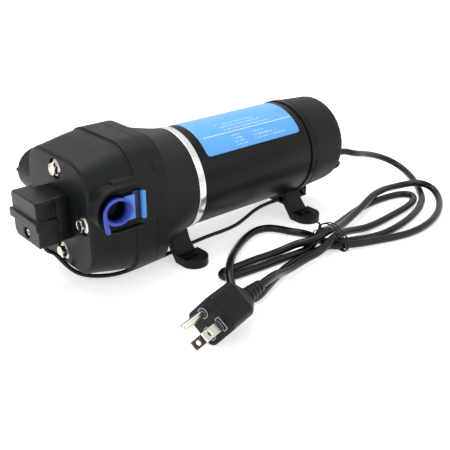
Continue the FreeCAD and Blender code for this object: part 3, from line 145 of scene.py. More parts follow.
# %% [markdown]
# ## Light, floor and backdrop
# The photograph is a packshot: soft light from all round, a stronger soft source above, and a pure
# white ground. The world is white for the camera and for reflections, and a plain grey for diffuse
# light. The floor is white and still takes the pump's soft shadow.

# %% World
WORLD_DIFFUSE, WORLD_SEEN = 0.5, 1.0
world = bpy.data.worlds.new("studio")
bpy.context.scene.world = world
world.use_nodes = True
tree = world.node_tree
tree.nodes.clear()
level = add(tree, "MapRange", {"Value": seen_directly(tree), "To Min": WORLD_DIFFUSE, "To Max": WORLD_SEEN})
ground = add(tree, "Background", {"Color": (1, 1, 1, 1), "Strength": level.outputs[0]})
add(tree, "OutputWorld", {"Surface": ground.outputs[0]})

# %% Floor
FLOOR_HALF, FLOOR_Z, FLOOR_GLOW = 4.0, -0.0002, 0.6
floor_mesh = bpy.data.meshes.new("studio_floor")
corners = [(-FLOOR_HALF, -FLOOR_HALF), (FLOOR_HALF, -FLOOR_HALF),
           (FLOOR_HALF, FLOOR_HALF), (-FLOOR_HALF, FLOOR_HALF)]
floor_mesh.from_pydata([(x, y, FLOOR_Z) for x, y in corners], [], [(0, 1, 2, 3)])
floor = bpy.data.objects.new("studio_floor", floor_mesh)
bpy.context.scene.collection.objects.link(floor)
material, tree, shader, place = fresh_material("white sweep")
glow = add(tree, "Math", {0: seen_directly(tree), 1: FLOOR_GLOW}, operation="MULTIPLY")
shader.inputs["Base Color"].default_value = linear("#f4f4f4")
shader.inputs["Roughness"].default_value = 0.9
shader.inputs["Specular IOR Level"].default_value = 0.0
shader.inputs["Emission Color"].default_value = (1, 1, 1, 1)
tree.links.new(glow.outputs[0], shader.inputs["Emission Strength"])
floor.data.materials.append(material)


# %% Lamps
def soft_lamp(name, at, towards, size, watts):
    """A square area lamp at one point, turned towards another."""
    data = bpy.data.lights.new(name, "AREA")
    data.size = size
    data.energy = watts
    item = bpy.data.objects.new(name, data)
    item.location = at
    item.rotation_mode = "QUATERNION"
    item.rotation_quaternion = (Vector(towards) - Vector(at)).to_track_quat("-Z", "Y")
    bpy.context.scene.collection.objects.link(item)


# each lamp's place and target in metres, its side in metres and its power in watts
LAMPS = {
    "top_box": ((-0.1, 0.25, 1.2), (0, 0, 0), 0.9, 11.0),
    "left_box": ((-1.1, -0.5, 0.7), (0, 0, 0.04), 0.7, 3.5),
    "right_box": ((0.6, -1.2, 0.8), (0, 0, 0.04), 0.7, 2.5),
}
for name, (at, towards, size, watts) in LAMPS.items():
    soft_lamp(name, at, towards, size, watts)
print("lamps:", ", ".join(LAMPS))


# %% [markdown]
# ## Finishes
# The pump's black parts are moulded nylon filled with glass fibre. The mould's fine spark-eroded
# texture breaks up the gloss, and the fibres leave faint cloudy patches. Grain is about half a
# millimetre, drawn a little coarser than real so that the camera can see it.

# %% Moulded plastics
CLOUD_MM, GLOSS_SWING = 14.0, 0.06


def moulded(name, colour, rough, grain_mm=0.5, bump=0.12, cloud=0.25, specular=0.4):
    """Moulded plastic: fine grain in the normal, and wide faint clouds in colour and roughness."""
    material, tree, shader, place = fresh_material(name)
    clouds = add(tree, "TexNoise", {"Vector": place, "Scale": 1 / (CLOUD_MM * MM), "Detail": 3.0}).outputs[0]
    dark = [c * (1 - cloud) for c in linear(colour)[:3]] + [1.0]
    light = [min(1.0, c * (1 + cloud)) for c in linear(colour)[:3]] + [1.0]
    gloss = add(tree, "MapRange", {"Value": clouds, "To Min": rough - GLOSS_SWING,
                                   "To Max": rough + GLOSS_SWING})
    grain = add(tree, "TexNoise", {"Vector": place, "Scale": 1 / (grain_mm * MM), "Detail": 2.0})
    relief = add(tree, "Bump", {"Strength": bump, "Distance": 0.1 * MM, "Height": grain.outputs[0]})
    tree.links.new(mixed(tree, clouds, dark, light), shader.inputs["Base Color"])
    tree.links.new(gloss.outputs[0], shader.inputs["Roughness"])
    tree.links.new(relief.outputs[0], shader.inputs["Normal"])
    shader.inputs["Specular IOR Level"].default_value = specular
    return material


# the black shows a faint cold green, as dyed nylon does beside a neutral black
black_nylon = moulded("glass-filled nylon, moulded", "#0f1314", 0.46, specular=0.18)
cap_plastic = moulded("ABS, matte moulded", "#101313", 0.55, 0.7, 0.2, specular=0.16)
switch_nylon = moulded("nylon, smooth moulded", "#0f1314", 0.36, 0.9, 0.05, specular=0.22)


# %% [markdown]
# The coloured plastics sit in the ports. Little light reaches down into a port, so one network
# paints that shade into the colour: it darkens with depth below the port's face. The near face is
# 48.5 mm from the middle and the far one 58 mm, so |Y - half their difference| less their mean is
# the height over either face.

# %% Coloured plastics in the ports, with painted shade
PORT_SHIFT, PORT_MEAN = (FAR_REACH - NEAR_REACH) / 2, (FAR_REACH + NEAR_REACH) / 2


def port_shaded(name, face_colour, painted_shade_colour, shade_depth_mm, rough):
    """Coloured plastic in a port with painted shade: bright at the port's face, and painted dark once it is
    the given depth below it.
    """
    material, tree, shader, place = fresh_material(name)
    across = add(tree, "SeparateXYZ", {0: place}).outputs["Y"]
    offset = add(tree, "Math", {0: across, 1: PORT_SHIFT * MM}, operation="SUBTRACT").outputs[0]
    height = add(tree, "Math", {0: offset}, operation="ABSOLUTE").outputs[0]
    span = {"From Min": (PORT_MEAN - shade_depth_mm) * MM, "From Max": (PORT_MEAN + 0.15) * MM}
    # painted shade: the colour goes from the face colour to the dark one with depth below the port's face
    light = add(tree, "MapRange", {"Value": height, **span}, interpolation_type="SMOOTHSTEP").outputs[0]
    speckle = add(tree, "TexNoise", {"Vector": place, "Scale": 1 / (2.0 * MM), "Detail": 2.0}).outputs[0]
    gloss = add(tree, "MapRange", {"Value": speckle, "To Min": rough - 0.05, "To Max": rough + 0.05})
    tree.links.new(mixed(tree, light, linear(painted_shade_colour), linear(face_colour)), shader.inputs["Base Color"])
    tree.links.new(gloss.outputs[0], shader.inputs["Roughness"])
    return material


# the plugs' hollows are painted dark with depth: painted shade where little light gets in
blue_polythene = port_shaded("polythene, glossy moulded, painted port shade", "#3f55c6", "#03051c", 4.5, 0.34)
# the clip's groove and fork are painted dark below the port's face: painted shade
clip_nylon = port_shaded("nylon, light blue, painted groove shade", "#5b9bee", "#0a1a56", 1.6, 0.36)
white_acetal = moulded("acetal, white", "#d8d8d2", 0.4, 1.0, 0.05, 0.05, 0.5)
rubber_black = moulded("EPDM rubber", "#141414", 0.7, 0.8, 0.2)
plug_pvc = moulded("PVC, plug moulding", "#0a0a0c", 0.4, 0.8, 0.1, specular=0.2)
cord_pvc = moulded("PVC, cord jacket", "#0a0b0b", 0.26, 2.5, 0.03, 0.05, 0.26)
tie_pvc = moulded("PVC, coated tie wire", "#0a0a0b", 0.36, 0.6, 0.1, 0.1, 0.25)


# %% Metals and paint
def metal(name, colour, rough, streak_mm=0.6, bump=0.05, stretch=(1, 1, 1)):
    """Bare metal: streaks of the machining in roughness and normal, stretched along one way."""
    material, tree, shader, place = fresh_material(name)
    lay = add(tree, "Mapping", {"Vector": place, "Scale": stretch})
    streaks = add(tree, "TexNoise", {"Vector": lay.outputs[0], "Scale": 1 / (streak_mm * MM),
                                     "Detail": 3.0}).outputs[0]
    gloss = add(tree, "MapRange", {"Value": streaks, "To Min": rough - 0.06, "To Max": rough + 0.08})
    relief = add(tree, "Bump", {"Strength": bump, "Distance": 0.05 * MM, "Height": streaks})
    shader.inputs["Base Color"].default_value = linear(colour)
    shader.inputs["Metallic"].default_value = 1.0
    tree.links.new(gloss.outputs[0], shader.inputs["Roughness"])
    tree.links.new(relief.outputs[0], shader.inputs["Normal"])
    return material


bright_ring = metal("aluminium, turned", "#dfe1e2", 0.2, 0.4, 0.02, (1, 0.02, 0.02))
plated_steel = metal("steel, bright nickel plated", "#ccc6ba", 0.2)
ground_steel = metal("steel, ground", "#a5a6a8", 0.3)
core_steel = metal("steel, laminated", "#5a5b5e", 0.45)
copper = metal("copper, enamelled", "#b8693c", 0.35)
brass = metal("brass, turned", "#c8a052", 0.28)
nickel = metal("brass, nickel plated", "#d6d1c6", 0.2, 0.8, 0.04)


def painted(name, colour, rough, peel_mm=1.6, bump=0.06, specular=0.45):
    """Stoved paint on steel: a smooth coat with the faint dimples of orange peel."""
    material, tree, shader, place = fresh_material(name)
    peel = add(tree, "TexNoise", {"Vector": place, "Scale": 1 / (peel_mm * MM), "Detail": 1.0}).outputs[0]
    relief = add(tree, "Bump", {"Strength": bump, "Distance": 0.1 * MM, "Height": peel})
    gloss = add(tree, "MapRange", {"Value": peel, "To Min": rough - 0.04, "To Max": rough + 0.04})
    tint = mixed(tree, peel, [c * 0.85 for c in linear(colour)[:3]] + [1.0], linear(colour))
    tree.links.new(tint, shader.inputs["Base Color"])
    tree.links.new(gloss.outputs[0], shader.inputs["Roughness"])
    tree.links.new(relief.outputs[0], shader.inputs["Normal"])
    shader.inputs["Specular IOR Level"].default_value = specular
    return material


black_paint = painted("steel, black stoved paint", "#080909", 0.36, specular=0.16)

# %% Finishes on the solid nodes
FINISHES = {
    "black_plastic": black_nylon, "black_paint": black_paint, "black_cap": cap_plastic,
    "bright_ring": bright_ring, "bright_steel": plated_steel, "blue_plastic": blue_polythene,
    "clip_plastic": clip_nylon, "label_blue": white_acetal, "white_plastic": white_acetal,
    "rubber": rubber_black, "steel": ground_steel, "core_steel": core_steel, "magnet": core_steel,
    "copper": copper, "brass": brass, "cord_black": cord_pvc, "plug_black": plug_pvc,
    "prong_metal": nickel,
}
SLOT_OF = {part["node"]: part["material_slot"] for part in frame["record"]["subparts"]}
for name, slot in SLOT_OF.items():
    nodes[name].data.materials.clear()
    nodes[name].data.materials.append(FINISHES[slot])
BODIES = frame["record"]["behaviour"]["bodies"]
BODY_OF = {node: body for body, members in BODIES.items() for node in members}
print("finishes on", len(SLOT_OF), "solid nodes")

# %% [markdown]
# ## Surfaces from rings of points
# A turned cap, a bolt, a plug's rim and a bent tab are all the same kind of surface: a stack of
# closed rings with equal counts of points, joined ring to ring. The rings come from formulas on whole
# arrays, so no loop visits single vertices.


# %% Ring and skin helpers
def skin(name, rings, material, hoop=False, smooth=35.0):
    """A closed mesh over rings (rows, points, 3) in millimetres: capped at both ends, or a hoop.

    Each face joins a point, its neighbour on the ring, and the same two on the next ring.
    """
    rings = np.asarray(rings, float)
    rows, count = rings.shape[:2]
    row, column = np.meshgrid(np.arange(rows if hoop else rows - 1), np.arange(count), indexing="ij")
    here, ahead, beside = row * count, (row + 1) % rows * count, (column + 1) % count
    quads = np.stack([here + column, here + beside, ahead + beside, ahead + column], -1)
    faces = quads.reshape(-1, 4).tolist()
    if not hoop:
        faces += [np.arange(count).tolist(), ((rows - 1) * count + np.arange(count)).tolist()]
    mesh = bpy.data.meshes.new(name)
    mesh.from_pydata((rings.reshape(-1, 3) * MM).tolist(), [], faces)
    return finished(name, mesh, material, smooth)


def finished(name, mesh, material, smooth=35.0):
    """An object from a closed mesh: normals outwards, smooth where faces meet below an angle."""
    form = bmesh.new()
    form.from_mesh(mesh)
    bmesh.ops.remove_doubles(form, verts=form.verts, dist=0.002 * MM)
    bmesh.ops.recalc_face_normals(form, faces=form.faces)
    form.to_mesh(mesh)
    form.free()
    mesh.shade_smooth()
    mesh.set_sharp_from_angle(angle=math.radians(smooth))
    mesh.materials.clear()
    mesh.materials.append(material)
    item = bpy.data.objects.new(name, mesh)
    bpy.context.scene.collection.objects.link(item)
    return item


def joined(name, items):
    """One object from several closed ones."""
    form = bmesh.new()
    for item in items:
        form.from_mesh(item.data)
    mesh = items[0].data
    form.to_mesh(mesh)
    form.free()
    for item in items[1:]:
        bpy.data.objects.remove(item)
    items[0].name = name
    return items[0]


def stands_for(item, *names):
    """The item takes the place and body of solid nodes, which it hides."""
    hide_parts(*names)
    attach(item, BODY_OF[names[0]])
    return item


def rounded(corners, steps=5):
    """A closed outline from (a, b, radius) corners: each corner is an arc tangent to both its sides."""
    points = []
    for i, (a, b, radius) in enumerate(corners):
        at = np.array((a, b), float)
        back = np.array(corners[i - 1][:2], float) - at
        ahead = np.array(corners[(i + 1) % len(corners)][:2], float) - at
        back /= np.linalg.norm(back)
        ahead /= np.linalg.norm(ahead)
        half = math.acos(float(np.clip(back @ ahead, -1, 1))) / 2
        bisector = (back + ahead) / np.linalg.norm(back + ahead)
        middle = at + bisector * radius / math.sin(half)
        first = at + back * radius / math.tan(half) - middle
        last = at + ahead * radius / math.tan(half) - middle
        swing = math.atan2(first[0] * last[1] - first[1] * last[0], first @ last)
        turn = np.linspace(0, swing, steps + 1)
        points.append(middle + np.stack([first[0] * np.cos(turn) - first[1] * np.sin(turn),
                                         first[0] * np.sin(turn) + first[1] * np.cos(turn)], -1))
    return np.concatenate(points)


def inset(outline, distance):
    """The outline moved inwards along its normals, which are worked out from its neighbours."""
    along = np.roll(outline, -1, 0) - np.roll(outline, 1, 0)
    along /= np.linalg.norm(along, axis=1, keepdims=True) + 1e-9
    area = np.sum(outline[:, 0] * np.roll(outline[:, 1], -1) - np.roll(outline[:, 0], -1) * outline[:, 1])
    normal = np.stack([along[:, 1], -along[:, 0]], -1) * math.copysign(1, area)
    return outline - normal * distance


def lathe(name, profile, material, y=0.0, z=AXIS, hoop=False, count=128, smooth=35.0):
    """A surface turned about a line along X, from (station, radius) points."""
    turn = np.linspace(0, 2 * math.pi, count, endpoint=False)
    profile = np.asarray(profile, float)
    station, radius = profile[:, :1], profile[:, 1:2]
    rings = np.stack([station + 0 * turn, y + radius * np.cos(turn), z + radius * np.sin(turn)], -1)
    return skin(name, rings, material, hoop, smooth)


def pillow(name, outline, low, high, edge, place, material, steps=3, smooth=35.0):
    """An outline carried from low to high with rounded edges; place puts (a, b, level) into X, Y, Z."""
    turn = np.linspace(0, math.pi / 2, steps + 1)
    inwards = np.concatenate([edge * (1 - np.sin(turn)), edge * (1 - np.cos(turn))])
    levels = np.concatenate([low + edge * (1 - np.cos(turn)), high - edge * (1 - np.sin(turn))])
    rings = []
    for distance, level in zip(inwards, levels):
        line = inset(outline, distance)
        rings.append(place(line[:, 0], line[:, 1], np.full(len(line), level)))
    return skin(name, rings, material, smooth=smooth)


def strand(name, path, wide, thick, material, up=(0, 0, 1), hoop=False, count=14, smooth=60.0):
    """An oval section swept along points: wide across the path, thick towards up."""
    path = np.asarray(path, float)
    along = np.gradient(path, axis=0)
    if hoop:
        along = np.roll(path, -1, 0) - np.roll(path, 1, 0)
    along /= np.linalg.norm(along, axis=1, keepdims=True)
    side = np.cross(along, np.broadcast_to(np.asarray(up, float), path.shape))
    side /= np.linalg.norm(side, axis=1, keepdims=True)
    rise = np.cross(side, along)
    turn = np.linspace(0, 2 * math.pi, count, endpoint=False)[None, :, None]
    half_wide = np.broadcast_to(np.asarray(wide, float) / 2, len(path))[:, None, None]
    half_thick = np.broadcast_to(np.asarray(thick, float) / 2, len(path))[:, None, None]
    rings = (path[:, None] + side[:, None] * np.cos(turn) * half_wide
             + rise[:, None] * np.sin(turn) * half_thick)
    return skin(name, rings, material, hoop, smooth)


def smooth_path(points, count):
    """Even steps along a smooth curve through points, with cubic pieces between them."""
    points = np.asarray(points, float)
    padded = np.concatenate([[2 * points[0] - points[1]], points, [2 * points[-1] - points[-2]]])
    place = np.linspace(0, len(points) - 1 - 1e-6, count)
    k = place.astype(int)
    t = (place - k)[:, None]
    a, b, c, d = padded[k], padded[k + 1], padded[k + 2], padded[k + 3]
    square, cube = 2 * a - 5 * b + 4 * c - d, 3 * b - a - 3 * c + d
    return 0.5 * (2 * b + (c - a) * t + square * t ** 2 + cube * t ** 3)


SHARP_ANGLE, EDGE_SEGMENTS = 28.0, 3


def eased(name, width, material=None):
    """A copy of a node's mesh with its flat faces joined up and its sharp edges rounded by a bevel."""
    mesh = nodes[name].data.copy()
    form = bmesh.new()
    form.from_mesh(mesh)
    bmesh.ops.remove_doubles(form, verts=form.verts, dist=0.005 * MM)
    bmesh.ops.dissolve_limit(form, angle_limit=math.radians(0.5), verts=form.verts, edges=form.edges)
    form.to_mesh(mesh)
    form.free()
    item = finished(name + "_eased", mesh, material or FINISHES[SLOT_OF[name]], 32.0)
    bevel = item.modifiers.new("eased edges", "BEVEL")
    bevel.width = width * MM
    bevel.segments = EDGE_SEGMENTS
    bevel.limit_method = "ANGLE"
    bevel.angle_limit = math.radians(SHARP_ANGLE)
    bevel.use_clamp_overlap = False
    stands_for(item, name)


# %% [markdown]
# ## Moulded head, housing, brackets and switch
# The solid shapes are right, and a moulding has no sharp edge: each gets its edges rounded. Where the
# head meets the lower housing, the two rounded edges leave the fine dark groove of the joint.

# %% Round the edges of the mouldings
# each node's edge width in millimetres, and its finish where that isn't its own slot's
EDGES = {
    "pump_head": (0.55, None), "lower_housing": (0.4, None), "front_foot": (0.7, None),
    "rear_foot": (0.7, None), "rear_plate": (0.35, None), "switch_base": (0.5, switch_nylon),
    "switch_cover": (0.8, switch_nylon), "adjusting_screw": (0.25, plated_steel), "plug_blades": (0.25, None),
}
for name, (width, finish) in EDGES.items():
    eased(name, width, finish)
print("edges rounded on", len(EDGES), "nodes")

# %% [markdown]
# ## Turned pieces
# The ring, the motor tube and the rear cap are bodies of revolution about the motor's axis.


# %% Ring, tube and cap
def hoop_profile(front, rear, outer, inner, edge):
    """The closed profile of a plain hoop with rounded edges."""
    return rounded([(front, inner, 0.2), (front, outer, edge), (rear, outer, edge), (rear, inner, 0.2)])


def turned(name, profile, material, node):
    """A hollow body turned about the motor's axis, in the place of one solid node."""
    stands_for(lathe(name, profile, material, hoop=True, count=192), node)


RING_BORE, TUBE_BORE, CAP_WALL = 12.0, 35.6, 2.3
ring_rear = RING_FRONT + RING_WIDE
ring_outline = hoop_profile(RING_FRONT + 0.1, ring_rear - 0.2, RING_R, RING_BORE, 0.45)
tube_outline = hoop_profile(ring_rear, TUBE_END, TUBE_R, TUBE_BORE, 0.7)
cap_outline = rounded([
    (CAP_FRONT + 0.1, RING_R - 2.8, 0.2), (CAP_FRONT + 0.1, RING_R - 0.1, 0.7),
    (CAP_FRONT + 2.0, RING_R - 0.1, 0.5), (CAP_FRONT + 2.5, RING_R - 0.7, 0.3),
    (CAP_REAR, RING_R - 2.7, 6.5), (CAP_REAR, 1.0, 0.05), (CAP_REAR - CAP_WALL, 1.0, 0.05),
    (CAP_REAR - CAP_WALL, RING_R - 5.2, 4.0), (CAP_FRONT + 4.6, RING_R - 2.8, 0.3),
])
turned("turned_ring", ring_outline, bright_ring, "metal_ring")
turned("tube_shell", tube_outline, black_paint, "motor_tube")
turned("turned_cap", cap_outline, cap_plastic, "rear_cap")

# %% [markdown]
# The cord leaves the cap through a ribbed sleeve, which spreads the bend over its length. Grooves
# round a tapering cone give the ribs.

# %% Strain relief behind the cap
GLAND_Y, GLAND_Z, RELIEF_LONG = -6.0, AXIS - 18.5, 22.0


def ribbed_cone(start, length, first, last, ribs, depth):
    """(station, radius) points of a tapered sleeve: radius falls evenly, less a row of rounded grooves."""
    along = np.linspace(0, 1, 12 * ribs + 1)
    groove = np.clip(np.cos(2 * math.pi * ribs * along), 0, 1) ** 0.6
    radius = first + (last - first) * along - depth * groove * (along > 0.1) * (along < 0.95)
    return np.stack([start + length * along, radius], -1)


gland = [(CAP_REAR - 3.0, 6.0), (CAP_REAR - 2.5, 4.9), (CAP_REAR, 4.9), (CAP_REAR, 6.5),
         (CAP_REAR + 1.4, 6.6), (CAP_REAR + 1.8, 6.2)]
cap_sleeve = ribbed_cone(CAP_REAR + 2.0, RELIEF_LONG - 2.0, 5.8, 4.2, 6, 0.7)
relief_profile = np.concatenate([gland, cap_sleeve, [(CAP_REAR + RELIEF_LONG, 3.4)]])
stands_for(lathe("gland_sleeve", relief_profile, plug_pvc, GLAND_Y, GLAND_Z, count=48), "cord_relief")

# %% [markdown]
# ## Bolts
# Each bolt has a round flange, a dished hexagon and a chamfer that cuts the hexagon's corners. The
# hexagon's ring is the radius of its flats at each angle, never more than the chamfer's circle.


# %% Four flanged bolts
HEX_HALF, CHAMFER_R = 4.0, 4.55
# heights over the seat and radii, in millimetres: the flange, the hexagon's band, and the dished top
FLANGE_ROWS = [(0, 6.1), (0.25, 6.4), (0.9, 6.4), (1.2, 6.15), (1.5, 5.3), (2.0, 4.75)]
HEX_ROWS = [(2.05, CHAMFER_R), (4.2, CHAMFER_R), (4.55, 4.25), (4.8, 3.9)]
DISH_ROWS = [(4.8, 3.2), (4.5, 2.9), (4.3, 2.2), (4.25, 1.0)]


def bolt_rings(y, z, twist):
    """Rings of one bolt from its seat outwards along -X."""
    turn = np.linspace(0, 2 * math.pi, 96, endpoint=False)
    flats = HEX_HALF / np.cos((turn - twist + math.pi / 6) % (math.pi / 3) - math.pi / 6)
    rows = FLANGE_ROWS + [(height, np.minimum(flats, most)) for height, most in HEX_ROWS] + DISH_ROWS
    rings = []
    for height, radius in rows:
        rings.append(np.stack([np.full_like(turn, BOLT_SEAT - height), y + radius * np.cos(turn),
                               z + radius * np.sin(turn)], -1))
    return rings


# how far each bolt happened to be turned when it was tight, in radians
BOLT_TWISTS = (0.35, 0.1, 0.6, 0.25)
bolt_heads = []
for i, twist in enumerate(BOLT_TWISTS):
    angle = i * math.pi / 2
    at = (BOLT_CIRCLE * math.cos(angle), AXIS + BOLT_CIRCLE * math.sin(angle))
    bolt_heads.append(skin("bolt", bolt_rings(*at, twist), plated_steel, smooth=25.0))
stands_for(joined("bolt_heads", bolt_heads), "head_bolts")

# %% [markdown]
# ## Ports
# Each port holds a hollow shipping plug with an oblong rim and a pull tab, and a slide clip that locks
# a hose fitting. The plug is one skin of rings: up the barrel, round the rim, and down inside the
# hollow. The clip is two outlines with a thickness: a plate with an upright lip at its rear, and a
# fork that reaches round the plug's barrel below its rim.

# %% Shipping plugs
BARREL_R, BORE_DEEP, POCKET_DEEP = 8.6, 14.0, 3.9
REACH = {"near": (-1, NEAR_REACH), "far": (1, FAR_REACH)}


def oval(radius, stretch, shift, level, side):
    """A ring round the port axis: an ellipse, longer along X by the stretch at each end."""
    turn = np.linspace(0, 2 * math.pi, 96, endpoint=False)
    x = PORT_X + shift + (radius + stretch) * np.cos(turn)
    return np.stack([x, np.full_like(turn, side * level), PORT_Z + radius * np.sin(turn)], -1)


def plug_rings(side, low, top, end):
    """Rings of a shipping plug from its inner end, over the rim and down to the floor of its hollow."""
    rows = [(8.2, 0, 0, end), (BARREL_R, 0, 0, end + 0.5), (BARREL_R, 0, 0, low), (8.9, 1.8, -0.4, low),
            (9.2, 1.8, -0.4, low + 0.35), (9.2, 1.8, -0.4, top - 0.5), (9.05, 1.8, -0.4, top - 0.15),
            (8.7, 1.8, -0.4, top), (7.75, 1.85, -0.3, top), (7.45, 1.85, -0.3, top - 0.15),
            (7.3, 1.8, -0.25, top - 0.5), (7.2, 1.1, -0.1, top - 1.8), (7.1, 0.5, 0, top - 3.2),
            (7.0, 0, 0, top - 5.0), (6.9, 0, 0, end + 2.8), (6.4, 0, 0, end + 2.1)]
    return [oval(radius, stretch, shift, level, side) for radius, stretch, shift, level in rows]


# points of each tab's middle from the port's axis, in millimetres: along X, up Z, and out of the rim
TAB_PATHS = {
    "near": [(-9.9, 3.0, 0.0), (-10.3, -1.0, 0.1), (-10.2, -5.5, 0.3), (-9.7, -9.3, 0.8), (-9.0, -12.4, 1.5)],
    "far": [(-9.0, 2.4, 0.0), (-11.5, 2.2, 0.1), (-14.0, 1.8, 0.3), (-16.2, 1.4, 0.7)],
}
RIM_GAP, RIM_THICK, TAB_POINTS = 0.3, 1.5, 24


def pull_tab(path, side, low):
    """A flat strip as thick as the rim, a little wider towards its rounded free end."""
    middle = low + RIM_THICK / 2
    bend = smooth_path([(PORT_X + a, side * (middle + out), PORT_Z + b) for a, b, out in path], TAB_POINTS)
    round_end = np.clip(np.linspace(TAB_POINTS, 0.4, TAB_POINTS) / 3, 0.2, 1) ** 0.5
    widths = np.linspace(2.8, 3.6, TAB_POINTS) * round_end
    return strand("tab", bend, widths, RIM_THICK, blue_polythene, up=(0, 1, 0))


for name, (side, reach) in REACH.items():
    low, end = reach + RIM_GAP, reach - BORE_DEEP + 1.0
    plug = skin("shipping_plug", plug_rings(side, low, low + RIM_THICK, end), blue_polythene)
    tab = pull_tab(TAB_PATHS[name], side, low)
    stands_for(joined("shipping_plug_" + name, [plug, tab]), "port_plug_" + name)

# %% Slide clips
PLATE_FRONT, LIP_FRONT, CLIP_REAR = PORT_X + 12.5, PORT_X + 17.8, PORT_X + 20.5
CLIP_HALF, PLATE_THICK = 9.4, 1.2
FORK_HALF, FORK_R, FORK_TURN, FORK_REAR = 8.3, 9.0, math.radians(54), PORT_X + 13.0
sweep = np.linspace(FORK_TURN, -FORK_TURN, 40)
fork_tip = PORT_X + FORK_R * math.cos(FORK_TURN)
fork_outline = np.concatenate([
    [(fork_tip, PORT_Z - FORK_HALF), (FORK_REAR, PORT_Z - FORK_HALF)],
    [(FORK_REAR, PORT_Z + FORK_HALF), (fork_tip, PORT_Z + FORK_HALF)],
    np.stack([PORT_X + FORK_R * np.cos(sweep), PORT_Z + FORK_R * np.sin(sweep)], -1)])


def slide_clip(side, reach):
    """The plate's outline, in X and Y, is carried along Z, and the fork's, in X and Z, along Y."""
    foot, top = reach - POCKET_DEEP + 0.3, reach + RIM_GAP + RIM_THICK
    floor_level = foot + PLATE_THICK
    plate_outline = rounded([
        (PLATE_FRONT, foot, 0.3), (CLIP_REAR, foot, 0.3), (CLIP_REAR, top, 0.5), (LIP_FRONT, top, 0.5),
        (LIP_FRONT - 0.3, floor_level, 0.4), (PLATE_FRONT, floor_level, 0.3)])
    plate = pillow("plate", plate_outline, PORT_Z - CLIP_HALF, PORT_Z + CLIP_HALF, 0.2,
                   lambda a, b, level: np.stack([a, side * b, level], -1), clip_nylon, smooth=50)
    fork = pillow("fork", fork_outline, foot + 0.3, reach - 0.1, 0.25,
                  lambda a, b, level: np.stack([a, side * level, b], -1), clip_nylon, smooth=50)
    return [plate, fork]


for name, (side, reach) in REACH.items():
    stands_for(joined("slide_clip_" + name, slide_clip(side, reach)), "clip_" + name)

# %% [markdown]
# ## Mains plug
# The plug lies rolled on its side, so its surfaces are worked out in its own axes and then turned into
# place: S across the blades, T towards the round pin and P along the prongs.

# %% The axes of the mains plug
PLUG_YAW, PLUG_ROLL = math.radians(195.8), math.radians(-49.8)
PLUG_AT = np.array((-118.3, -128.9, 13.3))
axis_p = np.array((math.cos(PLUG_YAW), math.sin(PLUG_YAW), 0))
level_across = np.array((-axis_p[1], axis_p[0], 0))
axis_t = np.cross(axis_p, level_across) * math.cos(PLUG_ROLL) + level_across * math.sin(PLUG_ROLL)
axis_s = np.cross(axis_t, axis_p)


def plug_place(s, t, p):
    """Points of the plug's own axes in X, Y, Z."""
    return PLUG_AT + s[..., None] * axis_s + t[..., None] * axis_t + p[..., None] * axis_p


# %% Plug body: a rounded block with ribbed grips that narrows towards the cord
BLOCK_LONG, BODY_LONG, BLOCK_HALF, BLOCK_LOW, BLOCK_HIGH = 22.0, 33.0, 13.5, -7.5, 17.5
CORNER_R, FACE_EDGE = 4.6, 1.2
GROOVE_DEEP, GROOVE_PITCH, GROOVE_FROM, GROOVE_TO = 0.4, 2.1, 9.4, 27.4
GRIP_MIDDLE, GRIP_HALF = 5.0, 8.0


def plug_body_rings():
    """Rounded rectangles along the plug: full to the block's end, then a smooth taper to the sleeve."""
    stations = np.concatenate([[0, 0.12, 0.4, 0.9, 1.5], np.linspace(2, BLOCK_LONG, 81),
                               np.linspace(BLOCK_LONG + 0.4, BODY_LONG, 24)])
    rings = []
    for back in stations:
        edge = FACE_EDGE * (1 - math.sqrt(max(0.0, 1 - (1 - min(back, FACE_EDGE) / FACE_EDGE) ** 2)))
        narrow = max(0.0, (back - BLOCK_LONG) / (BODY_LONG - BLOCK_LONG))
        ease = narrow ** 1.15
        half = BLOCK_HALF - 5.8 * ease - edge
        low, high = BLOCK_LOW + 3.0 * ease + edge, BLOCK_HIGH - 6.0 * ease - edge
        line = rounded([(half, high, CORNER_R), (half, low, CORNER_R),
                        (-half, low, CORNER_R), (-half, high, CORNER_R)], 8)
        wave = max(0.0, math.cos(2 * math.pi * (back - 10.0) / GROOVE_PITCH))
        groove = GROOVE_DEEP * wave * (GROOVE_FROM < back < GROOVE_TO)
        flank = np.clip(1 - np.abs(line[:, 1] - GRIP_MIDDLE) / GRIP_HALF, 0, 1) ** 0.3
        squeeze = groove * flank * np.sign(line[:, 0]) * (np.abs(line[:, 0]) > half - 0.3)
        rings.append(plug_place(line[:, 0] - squeeze, line[:, 1], np.full(len(line), -back)))
    return rings


stands_for(skin("plug_moulding", plug_body_rings(), plug_pvc), "plug_body")

# %% Round pin and sleeve of the plug
PIN_T, PIN_R, PIN_LONG, CORD_T = 11.9, 2.38, 21.0, 3.5
WHOLE_TURN = np.linspace(0, 2 * math.pi, 48, endpoint=False)


def plug_lathe(name, profile, material, t):
    """A surface turned about a line along P at one T."""
    profile = np.asarray(profile, float)
    station, radius = profile[:, :1], profile[:, 1:2]
    s_rings, t_rings = radius * np.cos(WHOLE_TURN), t + radius * np.sin(WHOLE_TURN)
    return skin(name, plug_place(s_rings, t_rings, station + 0 * WHOLE_TURN), material)


pin_profile = [(-7.9, PIN_R - 0.05), (PIN_LONG - 1.6, PIN_R), (PIN_LONG - 0.9, PIN_R - 0.25),
               (PIN_LONG - 0.3, PIN_R - 0.75), (PIN_LONG, PIN_R - 1.4)]
stands_for(plug_lathe("earth_pin", pin_profile, nickel, PIN_T), "ground_pin")
plug_ribs = ribbed_cone(0, 22.0, 6.5, 4.2, 5, 1.0)
plug_ribs[:, 0] = -BODY_LONG - plug_ribs[:, 0]
stands_for(plug_lathe("plug_sleeve", plug_ribs, plug_pvc, CORD_T), "plug_relief")
